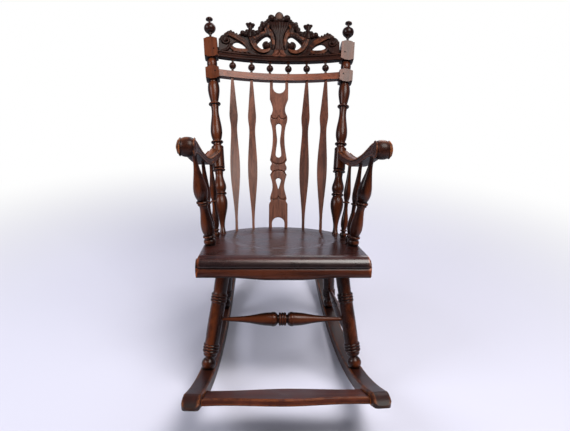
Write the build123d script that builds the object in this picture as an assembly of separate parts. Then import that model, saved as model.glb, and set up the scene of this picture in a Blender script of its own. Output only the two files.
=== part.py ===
from build123d import *
import os
from math import asin, atan2, copysign, cos, degrees, radians, sin, sqrt, tan

# A high-backed rocking chair in turned, sawn and carved wood. Millimetres and degrees.
# The chair faces -Y. Its left and right are the sitter's: the left side is +X.

# ---------------------------------------------------------------- fits
socket_clearance = 0.2        # round a peg or tenon in its socket, on each side
socket_end_room = 0.5         # between the end of a tenon and the floor of its socket

# ---------------------------------------------------------------- seat plank
seat_half_width = 250.0
seat_thickness = 34.0
seat_tilt = 11.67             # the front edge is the higher one
seat_front_height = 441.7     # top face at the seat's datum line, above the floor
seat_front_y = -254.0         # the datum line, 20 mm behind the rolled front edge
seat_nose = 20.0              # from the datum line forward to the front face
seat_roll_radius = 30.0
seat_straight_length = 239.0  # behind the datum line the sides are straight this far
seat_round_length = 245.0     # then a half ellipse closes the back
seat_edge_radius = 5.0
saddle_centre = 265.0         # the shallow dish in the top, measured back from the datum line
saddle_half_width = 192.0
saddle_half_length = 172.0
saddle_depth = 6.0
saddle_slope = 42.0           # width of the sloping rim of the dish

# ---------------------------------------------------------------- front under-board
apron_front_height = 30.0     # height of the board below the plank
apron_length = 78.0           # front to back
apron_drop = 7.0              # how much deeper its middle is
apron_drop_half_width = 56.0
apron_drop_run_out = 146.0
apron_overhang = 5.0          # its ends stand past the ends of the plank
apron_nose_radius = 13.0
quirk = 4.0                   # the groove between plank and board along the front
rosette_radius = 26.0
rosette_thickness = 9.0
rosette_centre = 13.0         # behind the datum line
rosette_button_radius = 7.5

# ---------------------------------------------------------------- rockers and foot board
rocker_radius = 1060.0        # of the sole
rocker_height = 37.0
rocker_width = 46.0
rocker_spacing = 423.0        # between the two at the point that meets the floor
rocker_toe_out = 3.03
contact_y = 0.0               # where the soles meet the floor
settle_angle = 0.79           # how far the chair rolls back to balance on its soles
rocker_front_reach = 581.4
rocker_rear_reach = 518.0
rocker_front_nose = 36.5      # length of the sole over which the top rounds down to the tip
rocker_rear_nose = 88.0
rocker_front_bulge = 7.8      # how far each nose stands out over its straight line
rocker_rear_bulge = 4.5
rocker_corner_radius = 19.0   # of its ends, seen from above
rocker_end_radius = 5.5       # rounding of the corners at its two ends, seen from the side
rocker_edge_radius = 5.0
board_rear = 438.0            # foot board, distances ahead of the floor contact
board_front = 540.0
board_height = 22.0           # its top above the soles
board_thickness = 19.0
board_bow = 6.0               # middle of each edge stands out this far
board_hollow = 9.0            # the hollows either side of the middle
board_hollow_at = 128.0
board_housing = 8.0           # depth of its ends in the rockers
board_edge_radius = 4.0

# ---------------------------------------------------------------- legs and stretchers
front_leg_seat = (177.5, 70.0)    # across, and behind the datum line
rear_leg_seat = (184.4, 372.4)
front_leg_reach = 298.0       # foot of the leg, ahead of the floor contact
rear_leg_reach = 129.5        # foot of the leg, behind the floor contact
leg_ball_height = 16.0        # centre of the foot ball above the rocker
leg_ball_diameter = 43.0
leg_neck_diameter = 28.0
leg_shaft_diameter = 44.0
leg_ring_diameter = 49.0
leg_top_diameter = 38.0
leg_rings_up = 65.0           # middle of the lower rings above the rocker
leg_ring_pitch = 9.0
leg_upper_rings_up = 221.0    # middle of the upper rings above the rocker
leg_tenon_diameter = 20.0
leg_tenon_depth = 24.0
leg_foot_tenon_depth = 22.0
stretcher_end_diameter = 11.0
stretcher_tenon_depth = 15.0
front_stretcher_up = 153.6    # along the front legs, above the rockers
front_stretcher_diameter = 41.0
front_stretcher_waist = 26.0
front_stretcher_bulb_at = 35.0
front_stretcher_ring_pitch = 7.5
side_stretcher_front_up = 79.6
side_stretcher_rear_up = 86.0
side_stretcher_diameter = 29.0
side_stretcher_groove_diameter = 14.0
side_stretcher_barrel = 116.0
side_stretcher_end_diameter = 9.0
rear_stretcher_up = 156.0
rear_stretcher_diameter = 20.0

# ---------------------------------------------------------------- back posts
back_lean = 29.58
post_splay = 5.45
post_foot = (203.4, 351.0)    # across, and behind the seat's datum line
post_foot_diameter = 24.0
post_swell_diameter = 45.0
post_ring_diameter = 43.0
post_neck_diameter = 30.0
post_block_width = 50.0
post_lower_ring_up = 145.4    # heights along the post
arm_drum_bottom = 238.0
arm_drum_top = 326.0
arm_drum_diameter = 44.0
post_middle_ring_up = 340.8
post_upper_ring_up = 490.0
rail_block_bottom = 582.6
rail_block_top = 634.0
crest_block_bottom = 671.0
crest_block_top = 750.6
post_cushion_diameter = 39.0
post_tenon_diameter = 18.0
post_tenon_depth = 24.0
ring_width = 8.0
finial_ball_up = 48.7         # centre of the ball above the post
finial_ball_diameter = 42.0
finial_neck_diameter = 9.0
finial_cap_up = 85.6
finial_cap_diameter = 27.0
finial_dowel_diameter = 8.0
finial_dowel_depth = 16.0

# ---------------------------------------------------------------- back rails and crest
rail_bow = 30.0               # depth of the bow at the middle
rail_bow_half_span = 235.0
rail_bottom = 598.0           # heights up the back
rail_height = 26.0
rail_thickness = 26.0
crest_bottom = 676.0
crest_base_height = 26.0
crest_base_thickness = 28.0
crest_panel_thickness = 22.0
crest_end_height = 81.0
crest_height = 214.0
rail_tenon_height = 16.0
rail_tenon_thickness = 9.0
rail_tenon_depth = 22.0
crest_tenon_height = 40.0
crest_tenon_middle = 24.0     # above the crest's bottom edge
joint_pin_diameter = 6.0
joint_pin_length = 34.0
joint_pin_inset = 14.0        # from the inner face of the block
ball_spindle_at = (36.0, 107.5, 180.0)
ball_spindle_diameter = 27.0
ball_spindle_collar_diameter = 12.0
ball_spindle_pin_diameter = 7.0
ball_spindle_pin_depth = 8.0

# ---------------------------------------------------------------- slats and splat
slat_thickness = 10.0
slat_bend_radius = 900.0
slat_tenon_depth = 12.0
slat_tenon_thickness = 6.0
outer_slat = {"foot_x": 155.0, "top_x": 180.0, "knee": (330.0, 56.0), "foot_b": 44.0}
inner_slat = {"foot_x": 94.0, "top_x": 107.0, "knee": (330.0, 78.0), "foot_b": 90.0}
splat = {"foot_x": 0.0, "top_x": 0.0, "knee": (320.0, 86.0), "foot_b": 102.0}
slat_foot_width = 9.5
slat_swell_width = 35.5
slat_swell_up = 270.0
slat_waist_width = 23.0
slat_waist_up = 411.0
slat_shoulder_width = 31.5
slat_shoulder_up = 463.0
slat_top_width = 9.5
splat_wide = 71.6
splat_neck_width = 48.0
splat_lobe_width = 65.0
splat_notch_half_width = 24.0
splat_notch_bottom = 552.0
splat_slot_top = 438.5
splat_slot_bottom = 307.7
splat_slot_half_width = 10.7
splat_slot_waist = 5.6
splat_drop_top = 228.0
splat_drop_bottom = 183.0
splat_drop_radius = 10.0
splat_drop_waist = 5.4        # half its width halfway up its point
splat_arch_top = 75.0

# ---------------------------------------------------------------- arms
arm_roll_back = 83.0          # centre of the rolled front end, behind the seat's datum line, level
arm_roll_up = 299.3           # and above it
arm_roll_radius = 28.5
arm_roll_inner_x = 256.0
arm_roll_width = 46.0
arm_button_radius = 19.0
arm_button_thickness = 8.0
arm_width = 45.0
arm_rear_width = 38.0
arm_rear_thickness = 24.0
arm_low_up = 195.3            # axis of the arm at the post, above the datum line
arm_tenon_diameter = 14.0
arm_tenon_depth = 16.0
# the arm behind its roll: distance back, how far its top drops, and its thickness there
arm_crown = ((71, 6, 34), (121, 36, 29), (171, 61, 28), (221, 80, 28), (271, 89, 27), (321, 92, 26))
# distance back from the roll, and how far its middle has come inwards
arm_inward = ((71, 3), (121, 8), (171, 14), (221, 20), (271, 25), (321, 33))

# ---------------------------------------------------------------- arm spindles
spindle_feet = ((228.0, 146.5), (226.6, 206.8), (219.5, 274.8))
spindle_heads = ((270.5, 156.0), (255.0, 240.0), (240.0, 346.0))
thick_spindle_diameter = 44.0
thick_spindle_foot_diameter = 36.0
thin_spindle_diameter = 25.0
thin_spindle_foot_diameter = 23.0
spindle_head_diameters = (15.0, 12.0, 12.0)
spindle_tenon_diameter = 9.0
spindle_tenon_depth = 12.0

# ================================================================ frames and helpers
FAR = 3000.0
BOTTOM = (Align.CENTER, Align.CENTER, Align.MIN)

seat_plane = Plane(
    origin=(0, seat_front_y, seat_front_height),
    x_dir=(1, 0, 0),
    z_dir=(0, sin(radians(seat_tilt)), cos(radians(seat_tilt))),
)
seat_underside = seat_plane.offset(-seat_thickness)
back_plane = Plane(
    origin=seat_plane.from_local_coords((0, post_foot[1], 0)),
    x_dir=(1, 0, 0),
    z_dir=(0, sin(radians(back_lean)), cos(radians(back_lean))),
)


def seat_point(x, behind, up=0.0):
    """Point on the seat: across, behind the datum line, above the top face."""
    return seat_plane.from_local_coords((x, behind, up))


def back_point(x, up, behind):
    """Point on the back: across, up the back, behind the plane of the posts."""
    return back_plane.from_local_coords((x, behind, up))


def frame_along(start, end):
    """Plane at start with its Z towards end. Its X runs across the chair, or back on a crosswise piece."""
    upward = (Vector(end) - Vector(start)).normalized()
    across = Vector(1, 0, 0) if abs(upward.X) < 0.7 else Vector(0, 1, 0)
    sideways = (across - upward * upward.dot(across)).normalized()
    return Plane(origin=start, x_dir=sideways, z_dir=upward)


def beyond(plane):
    """Everything on the side of the plane that its Z points to."""
    return plane * Box(FAR, FAR, FAR, align=BOTTOM)


def largest(shape):
    """The main solid of a cut, without the offcuts."""
    return shape.solids().sort_by(SortBy.VOLUME)[-1]


def side_edges(rows):
    """Edges of half an outline, in X and Z, from the first row to the last.

    A row is (height, width), reached by a straight line, (height, width, bulge), reached by an
    arc that stands out by the bulge, or a list of (height, width), reached by a smooth curve.
    """
    corner = Vector(rows[0][1] / 2, 0, rows[0][0])
    edges = []
    for row in rows[1:]:
        if isinstance(row, list):
            points = [corner] + [Vector(width / 2, 0, height) for height, width in row]
            edges.append(Spline(*points))
            corner = points[-1]
            continue
        target = Vector(row[1] / 2, 0, row[0])
        if len(row) == 3:
            chord = target - corner
            outward = Vector(chord.Z, 0, -chord.X).normalized()
            middle = (corner + target) * 0.5 + outward * row[2]
            edges.append(ThreePointArc(corner, middle, target))
        else:
            edges.append(Line(corner, target))
        corner = target
    return edges


def turned(rows):
    """Solid turned about Z, from rows of (height, diameter)."""
    bottom, top = rows[0][0], (rows[-1][-1] if isinstance(rows[-1], list) else rows[-1])[0]
    edges = side_edges(rows)
    foot, head = edges[0] @ 0, edges[-1] @ 1
    edges += [Line(head, (0, 0, top)), Line((0, 0, top), (0, 0, bottom)), Line((0, 0, bottom), foot)]
    return revolve(make_face(edges), Axis.Z, 360)


def symmetric_board(rows, depth):
    """Board with the same outline left and right, in X and Z, centred on Y = 0."""
    right = side_edges(rows)
    left = [edge.mirror(Plane.YZ) for edge in right]
    edges = right + left + [Line(right[0] @ 0, left[0] @ 0), Line(right[-1] @ 1, left[-1] @ 1)]
    return extrude(make_face(edges), amount=depth / 2, both=True, dir=(0, 1, 0))


def peg(plane, diameter, depth, socket=False):
    """Round tenon that goes from the plane into its -Z side, or the socket it fits."""
    room = socket_clearance if socket else 0.0
    length = depth + (socket_end_room if socket else 0.0)
    return plane * Pos(0, 0, -length) * Cylinder(diameter / 2 + room, length + 1.0, align=BOTTOM)


def tongue(plane, width, thickness, depth, socket=False):
    """Flat tenon that goes from the plane into its -Z side, or the mortise it fits."""
    room = 2 * socket_clearance if socket else 0.0
    length = depth + (socket_end_room if socket else 0.0)
    return plane * Pos(0, 0, -length) * Box(width + room, thickness + room, length + 1.0, align=BOTTOM)


def mirrored(shape):
    return mirror(shape, about=Plane.YZ)


def ring(middle, diameter, neck, width):
    """Rows of a rounded ring between two necks."""
    return [(middle - width / 2, neck), (middle - width / 2, diameter - width * 0.6),
            (middle + width / 2, diameter - width * 0.6, width * 0.42), (middle + width / 2, neck)]


# ================================================================ rockers and foot board
rocker_plane = Plane(
    origin=(rocker_spacing / 2, contact_y, 0),
    x_dir=(cos(radians(rocker_toe_out)), sin(radians(rocker_toe_out)), 0),
    z_dir=(0, 0, 1),
)
rocker_top_radius = rocker_radius - rocker_height
above_rocker = rocker_plane * Pos(0, 0, rocker_radius) * Rot(0, 90, 0) * Cylinder(rocker_top_radius, FAR)


def arc_point(radius, ahead):
    """Point on an arc about the rocker's centre, in the rocker's own frame."""
    return Vector(0, -ahead, rocker_radius - sqrt(radius ** 2 - ahead ** 2))


def rocker_top_point(ahead):
    """Point on the middle of the rocker's top, ahead of the floor contact."""
    return rocker_plane.from_local_coords(arc_point(rocker_top_radius, ahead))


def rocker_nose(reach, length, bulge):
    """One end of the rocker: its tip, the middle of its rounded top, and where the plain top begins."""
    tip = arc_point(rocker_radius, reach)
    top_angle = asin(reach / rocker_radius) - copysign(length / rocker_radius, reach)
    top = arc_point(rocker_top_radius, rocker_top_radius * sin(top_angle))
    chord = top - tip
    outwards = Vector(0, -chord.Z, chord.Y).normalized() * copysign(bulge, reach)
    return tip, (tip + top) * 0.5 + outwards, top


def rocker_blank():
    front_tip, front_middle, front_top = rocker_nose(
        rocker_front_reach, rocker_front_nose, rocker_front_bulge)
    rear_tip, rear_middle, rear_top = rocker_nose(
        -rocker_rear_reach, rocker_rear_nose, rocker_rear_bulge)
    outline = [
        ThreePointArc(rear_tip, (0, 0, 0), front_tip),
        ThreePointArc(front_tip, front_middle, front_top),
        ThreePointArc(front_top, (0, 0, rocker_height), rear_top),
        ThreePointArc(rear_top, rear_middle, rear_tip),
    ]
    blank = extrude(make_face(outline), amount=rocker_width / 2, both=True, dir=(1, 0, 0))
    across = [edge for edge in blank.edges() if edge.geom_type == GeomType.LINE]
    blank = fillet(across, rocker_end_radius)
    sides = blank.faces().sort_by(Axis.X)
    blank = fillet(sides[0].edges() + sides[-1].edges(), rocker_edge_radius)
    box = blank.bounding_box()
    plan = RectangleRounded(rocker_width + 1, box.size.Y, rocker_corner_radius)
    middle = Pos(0, (box.min.Y + box.max.Y) / 2, box.min.Z - 1)
    return rocker_plane * (blank & middle * extrude(plan, amount=box.size.Z + 2))


def foot_board(socket=False):
    """Wavy board across the rockers, housed at both ends, or the housing it fits."""
    room = socket_clearance if socket else 0.0
    rear = rocker_plane.from_local_coords(arc_point(rocker_radius - board_height, board_rear))
    front = rocker_plane.from_local_coords(arc_point(rocker_radius - board_height, board_front))
    pitch = atan2(front.Z - rear.Z, rear.Y - front.Y)
    middle = (rear + front) * 0.5
    plane = Plane(origin=(0, middle.Y, middle.Z), x_dir=(1, 0, 0), z_dir=(0, sin(pitch), cos(pitch)))
    half_width = (front - rear).length / 2 + room
    half_span = rocker_spacing / 2 + rocker_width

    def edge_curve(sign):
        hollow = sign * (half_width - board_hollow)
        return Spline(
            (-half_span, sign * half_width), (-board_hollow_at, hollow), (0, sign * (half_width + board_bow)),
            (board_hollow_at, hollow), (half_span, sign * half_width),
        )

    front_edge, rear_edge = edge_curve(-1), edge_curve(1)
    ends = [Line(front_edge @ 0, rear_edge @ 0), Line(front_edge @ 1, rear_edge @ 1)]
    board = extrude(make_face([front_edge, rear_edge] + ends), amount=-(board_thickness + 2 * room))
    if not socket:
        board = fillet(board.edges().filter_by(GeomType.BSPLINE), board_edge_radius)
    board = plane * Pos(0, 0, room) * board
    outer = rocker_plane * Pos(board_housing + room * 2 - rocker_width / 2, 0, 0) * Rot(0, 90, 0)
    outer = outer * Box(FAR, FAR, FAR, align=BOTTOM)
    return board - outer - mirrored(outer)


# ================================================================ legs and stretchers
def leg_axis(seat_place, ahead):
    """Foot of a leg on its rocker and its head at the underside of the seat."""
    across, behind = seat_place
    return rocker_top_point(ahead), seat_point(across, behind, -seat_thickness)


front_leg_axis = leg_axis(front_leg_seat, front_leg_reach)
rear_leg_axis = leg_axis(rear_leg_seat, -rear_leg_reach)


def ball(middle, diameter, neck):
    """Rows of a ball between two necks."""
    half = sqrt((diameter / 2) ** 2 - (neck / 2) ** 2)
    return [(middle - half, neck), (middle + half, neck, (diameter - neck) / 2)]


def three_rings(middle, diameter, pitch):
    """Rows of three half-round rings side by side."""
    depth = 0.34 * pitch
    groove = diameter - 2 * depth
    return [(middle - 1.5 * pitch, groove)] + [(middle + (i - 0.5) * pitch, groove, depth) for i in range(3)]


def leg_blank(axis):
    foot, head = axis
    length = (head - foot).length
    foot_ball = ball(leg_ball_height, leg_ball_diameter, leg_neck_diameter)
    rings_half = 1.5 * leg_ring_pitch
    upper = leg_upper_rings_up
    rows = [
        (foot_ball[0][0] - 8, leg_neck_diameter), *foot_ball,
        (foot_ball[1][0] + 5, leg_neck_diameter, -1),
        (leg_rings_up - rings_half - 2, leg_shaft_diameter - 3, 2.5),
        *three_rings(leg_rings_up, leg_ring_diameter, leg_ring_pitch),
        (leg_rings_up + rings_half + 4, leg_shaft_diameter - 1),
        ((leg_rings_up + upper) / 2, leg_shaft_diameter),
        (upper - rings_half - 4, leg_shaft_diameter - 2),
        *three_rings(upper, leg_ring_diameter, leg_ring_pitch),
        (upper + rings_half + 4, leg_shaft_diameter - 4),
        [((upper + rings_half + length) / 2, leg_shaft_diameter - 2), (length, leg_top_diameter)],
        (length + 20, leg_top_diameter),
    ]
    return frame_along(foot, head) * turned(rows)


def leg_tenons(axis, socket=False):
    foot, head = axis
    low = peg(frame_along(foot, head), leg_tenon_diameter, leg_foot_tenon_depth, socket)
    high = peg(frame_along(head, foot), leg_tenon_diameter, leg_tenon_depth, socket)
    return low, high


def point_up(axis, height):
    """Point on a line, a height above its start."""
    start, end = axis
    return start + (end - start).normalized() * height


def opposite(point):
    return Vector(-point.X, point.Y, point.Z)


front_stretcher_start = point_up(front_leg_axis, front_stretcher_up)
rear_stretcher_start = point_up(rear_leg_axis, rear_stretcher_up)
side_stretcher_line = (
    point_up(front_leg_axis, side_stretcher_front_up), point_up(rear_leg_axis, side_stretcher_rear_up),
)
tenon_start = leg_shaft_diameter / 2 - stretcher_tenon_depth
tenon_end = leg_shaft_diameter / 2 + 3


def stretcher_sockets(start, end, diameter):
    """Holes for the two ends of a stretcher that runs between two leg axes."""
    holes = []
    for near, far in ((start, end), (end, start)):
        line = frame_along(near, far)
        inner = tenon_start - socket_end_room
        reach = leg_shaft_diameter / 2 + 5 - inner
        holes.append(line * Pos(0, 0, inner) * Cylinder(diameter / 2 + socket_clearance, reach, align=BOTTOM))
    return holes


def front_stretcher():
    start = front_stretcher_start
    end = opposite(start)
    half = (end - start).length / 2
    d, big = stretcher_end_diameter, front_stretcher_diameter
    waist, at = front_stretcher_waist, front_stretcher_bulb_at
    rings_half = 1.5 * front_stretcher_ring_pitch
    rows = [
        (tenon_start - half, d), (tenon_end - half, d),
        [(-at - 0.66 * (half - at), d + 4), (-at - 0.4 * (half - at), big * 0.56),
         (-at - 20, big * 0.94), (-at, big)],
        (-rings_half - 4, waist + 4, 4), (-rings_half - 3, waist, -0.5), (-rings_half, waist),
        *three_rings(0, big, front_stretcher_ring_pitch), (rings_half, waist),
        (rings_half + 3, waist), (rings_half + 4, waist + 4, -0.5), (at, big, 4),
        [(at + 20, big * 0.94), (at + 0.4 * (half - at), big * 0.56), (at + 0.66 * (half - at), d + 4),
         (half - tenon_end, d)],
        (half - tenon_start, d),
    ]
    return frame_along((start + end) * 0.5, end) * turned(rows)


def side_stretcher():
    start, end = side_stretcher_line
    half = (end - start).length / 2
    d, big, barrel = side_stretcher_end_diameter, side_stretcher_diameter, side_stretcher_barrel / 2
    groove = side_stretcher_groove_diameter
    rows = [
        (tenon_start - half, d), (tenon_end - half, d),
        [(-(half + barrel) / 2, (d + big) / 2 - 2), (-barrel - 5, big - 4)],
        (-barrel - 2.5, big - 8, 0.8), (-barrel - 2.5, groove), (-barrel + 2, groove), (-barrel + 2, big - 6),
        (-barrel + 5, big - 2, 0.8), [(0, big), (barrel - 5, big - 2)], (barrel - 2, big - 6, 0.8),
        (barrel - 2, groove), (barrel + 2.5, groove), (barrel + 2.5, big - 8), (barrel + 5, big - 4, 0.8),
        [((half + barrel) / 2, (d + big) / 2 - 2), (half - tenon_end, d)], (half - tenon_start, d),
    ]
    return frame_along((start + end) * 0.5, end) * turned(rows)


def rear_stretcher():
    start = rear_stretcher_start
    end = opposite(start)
    half = (end - start).length / 2
    d = stretcher_end_diameter
    rows = [(tenon_start - half, d), (tenon_end - half, d),
            [(0, rear_stretcher_diameter), (half - tenon_end, d)], (half - tenon_start, d)]
    return frame_along((start + end) * 0.5, end) * turned(rows)


# ================================================================ back posts
post_foot_point = seat_point(post_foot[0], post_foot[1])
post_direction = Vector(tan(radians(post_splay)), tan(radians(back_lean)), 1).normalized()
post_plane = frame_along(post_foot_point, post_foot_point + post_direction)
block_inner_face = post_plane * Pos(-post_block_width / 2, 0, 0)
inside_of_blocks = block_inner_face * Rot(0, -90, 0) * Box(FAR, FAR, FAR, align=BOTTOM)


def post_point(height):
    return post_foot_point + post_direction * height


def post_block(bottom, top):
    """Square block of a post, with its corners turned off at both ends."""
    width = post_block_width
    block = Pos(0, 0, bottom) * Box(width, width, top - bottom, align=BOTTOM)
    round_off = turned([
        (bottom, width * 0.86), (bottom + 4, width * 1.2, 2), (bottom + 6, width * 1.5),
        (top - 6, width * 1.5), (top - 4, width * 1.2), (top, width * 0.86, 2),
    ])
    return block & round_off


def post_turnings():
    neck, swell, ring_d = post_neck_diameter, post_swell_diameter, post_ring_diameter
    low, mid, high = post_lower_ring_up, post_middle_ring_up, post_upper_ring_up
    drum = arm_drum_diameter
    rows = [
        (-14, post_foot_diameter), (0, post_foot_diameter),
        [(low * 0.5, swell * 0.78), (low - 22, swell), (low - 11, swell * 0.86)],
        (low - 8, neck + 5), *ring(low, ring_d, neck + 5, ring_width), (low + 8, neck + 6),
        [(low + 22, swell), (low + 46, swell * 0.81), (arm_drum_bottom - 16, neck)],
        (arm_drum_bottom - 9, neck + 1, -0.5), *ring(arm_drum_bottom - 4, swell, neck + 4, ring_width - 2),
        (arm_drum_bottom + 2, drum - 6), (arm_drum_bottom + 8, drum, 1.5),
        (arm_drum_top - 8, drum), (arm_drum_top, drum - 8, 2),
        (arm_drum_top + 3, neck), *ring(mid, ring_d, neck, ring_width), (mid + 9, neck + 1),
        [(mid + 34, swell * 0.94), (mid + 78, swell * 0.8), (high - 14, neck - 2)],
        (high - 6, neck), *ring(high, ring_d, neck, ring_width),
        (high + 9, neck - 2, -0.5),
        [(high + 32, swell * 0.84), (high + 60, swell * 0.98), (rail_block_bottom - 9, swell * 0.86)],
        (rail_block_bottom - 7, neck + 2), (rail_block_bottom + 1, neck + 2),
        (rail_block_top - 1, neck + 2), (rail_block_top + 4, neck + 2),
        (rail_block_top + 5, post_cushion_diameter - 5),
        (crest_block_bottom - 5, post_cushion_diameter - 5, 2.5),
        (crest_block_bottom - 4, neck + 2), (crest_block_top - 6, neck + 2),
    ]
    return turned(rows)


def post_blank():
    blank = post_turnings() + post_block(rail_block_bottom, rail_block_top)
    blank = blank + post_block(crest_block_bottom, crest_block_top)
    return post_plane * blank


def post_tenon(socket=False):
    return peg(post_plane, post_tenon_diameter, post_tenon_depth, socket)


def finial():
    """Ball and button finial, with the dowel that holds it in the top of the post."""
    up, neck = finial_ball_up, finial_neck_diameter
    cap = finial_cap_diameter
    under_ball = up - finial_ball_diameter / 2
    rows = [
        (-finial_dowel_depth, finial_dowel_diameter), (0, finial_dowel_diameter),
        (0, 22), (5, 21, 1.5), (6, neck + 7), (under_ball - 3, neck + 2, -2),
        (under_ball - 3, neck + 7), (under_ball + 0.8, neck + 7, 1),
    ]
    rows += ball(up, finial_ball_diameter, neck + 1)[1:]
    rows += [(finial_cap_up - 9, neck, -1), (finial_cap_up - 2, cap, -2.5),
             (finial_cap_up + 6, cap * 0.45, 3)]
    return post_plane * Pos(0, 0, crest_block_top) * turned(rows)


def finial_socket():
    plane = post_plane.offset(crest_block_top)
    return peg(plane, finial_dowel_diameter, finial_dowel_depth, socket=True)


# ================================================================ back rails and crest
def bow_strip(bottom, top, thickness):
    """Strip bent along the bow of the rails, between two heights up the back."""
    span = rail_bow_half_span
    half = thickness / 2
    front = ThreePointArc((-span, -half), (0, rail_bow - half), (span, -half))
    rear = ThreePointArc((-span, half), (0, rail_bow + half), (span, half))
    stretch = [Line((-span, -half), (-span, half)), Line((span, -half), (span, half))]
    strip = extrude(make_face([front, rear] + stretch), amount=top - bottom)
    return Pos(0, 0, bottom) * strip


def bow_at(x):
    """How far the bow stands behind the plane of the posts."""
    radius = (rail_bow_half_span ** 2 + rail_bow ** 2) / (2 * rail_bow)
    return rail_bow - radius + sqrt(radius ** 2 - x ** 2)


def rail_tenon(middle_up, height, socket=False):
    """Tenon from the inner face of the left block, at a height up the back."""
    level = middle_up / post_direction.dot(back_plane.z_dir)
    plane = Plane(
        origin=post_plane.from_local_coords((-post_block_width / 2, 0, level)),
        x_dir=post_plane.z_dir, z_dir=-post_plane.x_dir,
    )
    return tongue(plane, height, rail_tenon_thickness, rail_tenon_depth, socket)


def lower_rail_tenon(socket=False):
    return rail_tenon(rail_bottom + rail_height / 2, rail_tenon_height, socket)


def crest_tenon(socket=False):
    return rail_tenon(crest_bottom + crest_tenon_middle, crest_tenon_height, socket)


def joint_pins(socket=False):
    """The pins that lock the two rails in the left post."""
    room = socket_clearance if socket else 0.0
    pins = []
    half = post_block_width / 2
    for up in (rail_bottom + rail_height / 2, crest_bottom + crest_tenon_middle):
        level = up / post_direction.dot(back_plane.z_dir)
        plane = post_plane * Pos(joint_pin_inset - half, -half, level) * Rot(-90, 0, 0)
        length = joint_pin_length + (socket_end_room + 1 if socket else 0)
        start = -1 if socket else 0
        pin = Cylinder(joint_pin_diameter / 2 + room, length, align=BOTTOM)
        pins.append(plane * Pos(0, 0, start) * pin)
    return pins


def flat_outline(points):
    """Face in X and height from a list of corners."""
    return Plane.XZ * make_face(Polyline(*points, close=True))


def round_form(x, up, width, height):
    return Plane.XZ * Pos(x, up) * Ellipse(width / 2, height / 2)


def loop(points):
    """Face in X and height inside a smooth closed curve."""
    return Plane.XZ * make_face(Spline(*points, periodic=True))


def crest_half_silhouette():
    """Right half of the pierced crest: width from the middle, height above its bottom edge."""
    span, end = rail_bow_half_span, crest_end_height
    mass = flat_outline([
        (-1, 0), (span, 0), (span, end), (226, end), (214, 100), (203, 107), (195, 119), (187, 109),
        (179, 118), (170, 107), (150, 106), (128, 103), (100, 106), (80, 110), (74, 128), (66, 146),
        (52, 158), (42, 166), (26, 178), (-1, 186),
    ])
    forms = [
        round_form(208, 77, 48, 48), round_form(143, 114, 20, 20), round_form(85, 118, 20, 20),
        round_form(65, 149, 24, 24), round_form(31, 184, 25, 25),
        flat_outline([(105, 100), (123, 100), (122, 150), (106, 150)]),
        flat_outline([(102, 145), (126, 145), (132, 159), (96, 159)]),
    ]
    for form in forms:
        mass = mass + form
    inner_hole = loop([(87, 75), (66, 101), (44, 110), (34, 98), (42, 84), (61, 76), (62, 57), (78, 60)])
    outer_eyelet = loop([(183, 62), (166, 76), (146, 70), (131, 54), (148, 50), (168, 49)])
    return mass - inner_hole - outer_eyelet


def crest_rail():
    """Bowed and pierced crest rail with its tenons."""
    half = crest_half_silhouette()
    cabochon = round_form(0, crest_height - 20, 25, 40)
    panel = extrude(half, amount=rail_bow_half_span, both=True, dir=(0, 1, 0))
    middle = extrude(cabochon, amount=rail_bow_half_span, both=True, dir=(0, 1, 0))
    whole = Pos(0, 0, crest_bottom) * (panel + mirrored(panel) + middle)
    base_top = crest_bottom + crest_base_height
    carved = whole & bow_strip(base_top - 1, crest_bottom + crest_height, crest_panel_thickness)
    base = bow_strip(crest_bottom, base_top, crest_base_thickness)
    blank = back_plane * (carved + base)
    return with_end_tenons(blank, crest_tenon())


def with_end_tenons(blank, tenon):
    """Rail cut to the inner faces of both posts, with a tenon at each end."""
    between = blank & inside_of_blocks & mirrored(inside_of_blocks)
    return between + tenon + mirrored(tenon)


def lower_rail():
    strip = bow_strip(rail_bottom, rail_bottom + rail_height, rail_thickness)
    return with_end_tenons(back_plane * strip, lower_rail_tenon())


def ball_spindle_plane(x):
    return Plane(origin=back_point(x, rail_bottom + rail_height, bow_at(x)), x_dir=(1, 0, 0),
                 z_dir=back_plane.z_dir)


def ball_spindle(x):
    """Little turned spindle between the two rails, pinned into both."""
    gap = crest_bottom - rail_bottom - rail_height
    collar, pin = ball_spindle_collar_diameter, ball_spindle_pin_diameter
    rows = [(-ball_spindle_pin_depth, pin), (0, pin), (0, collar + 3), (4, collar + 3, 1.2), (4, collar - 3)]
    rows += ball(gap / 2, ball_spindle_diameter, collar - 3)
    rows += [(gap - 4, collar - 3), (gap - 4, collar + 3), (gap, collar + 3, 1.2), (gap, pin),
             (gap + ball_spindle_pin_depth, pin)]
    return ball_spindle_plane(x) * turned(rows)


def ball_spindle_sockets(x):
    low = ball_spindle_plane(x)
    gap = crest_bottom - rail_bottom - rail_height
    high = low.offset(gap) * Rot(180, 0, 0)
    return [peg(plane, ball_spindle_pin_diameter, ball_spindle_pin_depth, True) for plane in (low, high)]


# ================================================================ slats and splat
def slat_strip(shape, width):
    """Wide strip bent to a slat's line, from below the seat's top to the lower rail."""
    knee_up, knee_b = shape["knee"]
    foot_up = shape["foot_b"] * tan(radians(back_lean - seat_tilt))
    foot = Vector(0, shape["foot_b"], foot_up)
    knee = Vector(0, knee_b, knee_up)
    top = Vector(0, bow_at(shape["top_x"]), rail_bottom)
    foot = foot + (foot - knee).normalized() * (seat_thickness / 2)
    top = top + (top - knee).normalized() * 10
    path = FilletPolyline(foot, knee, top, radius=slat_bend_radius)
    section = Plane(origin=foot, x_dir=(1, 0, 0), z_dir=knee - foot) * Rectangle(width, slat_thickness)
    return sweep(section, path=path)


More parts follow.
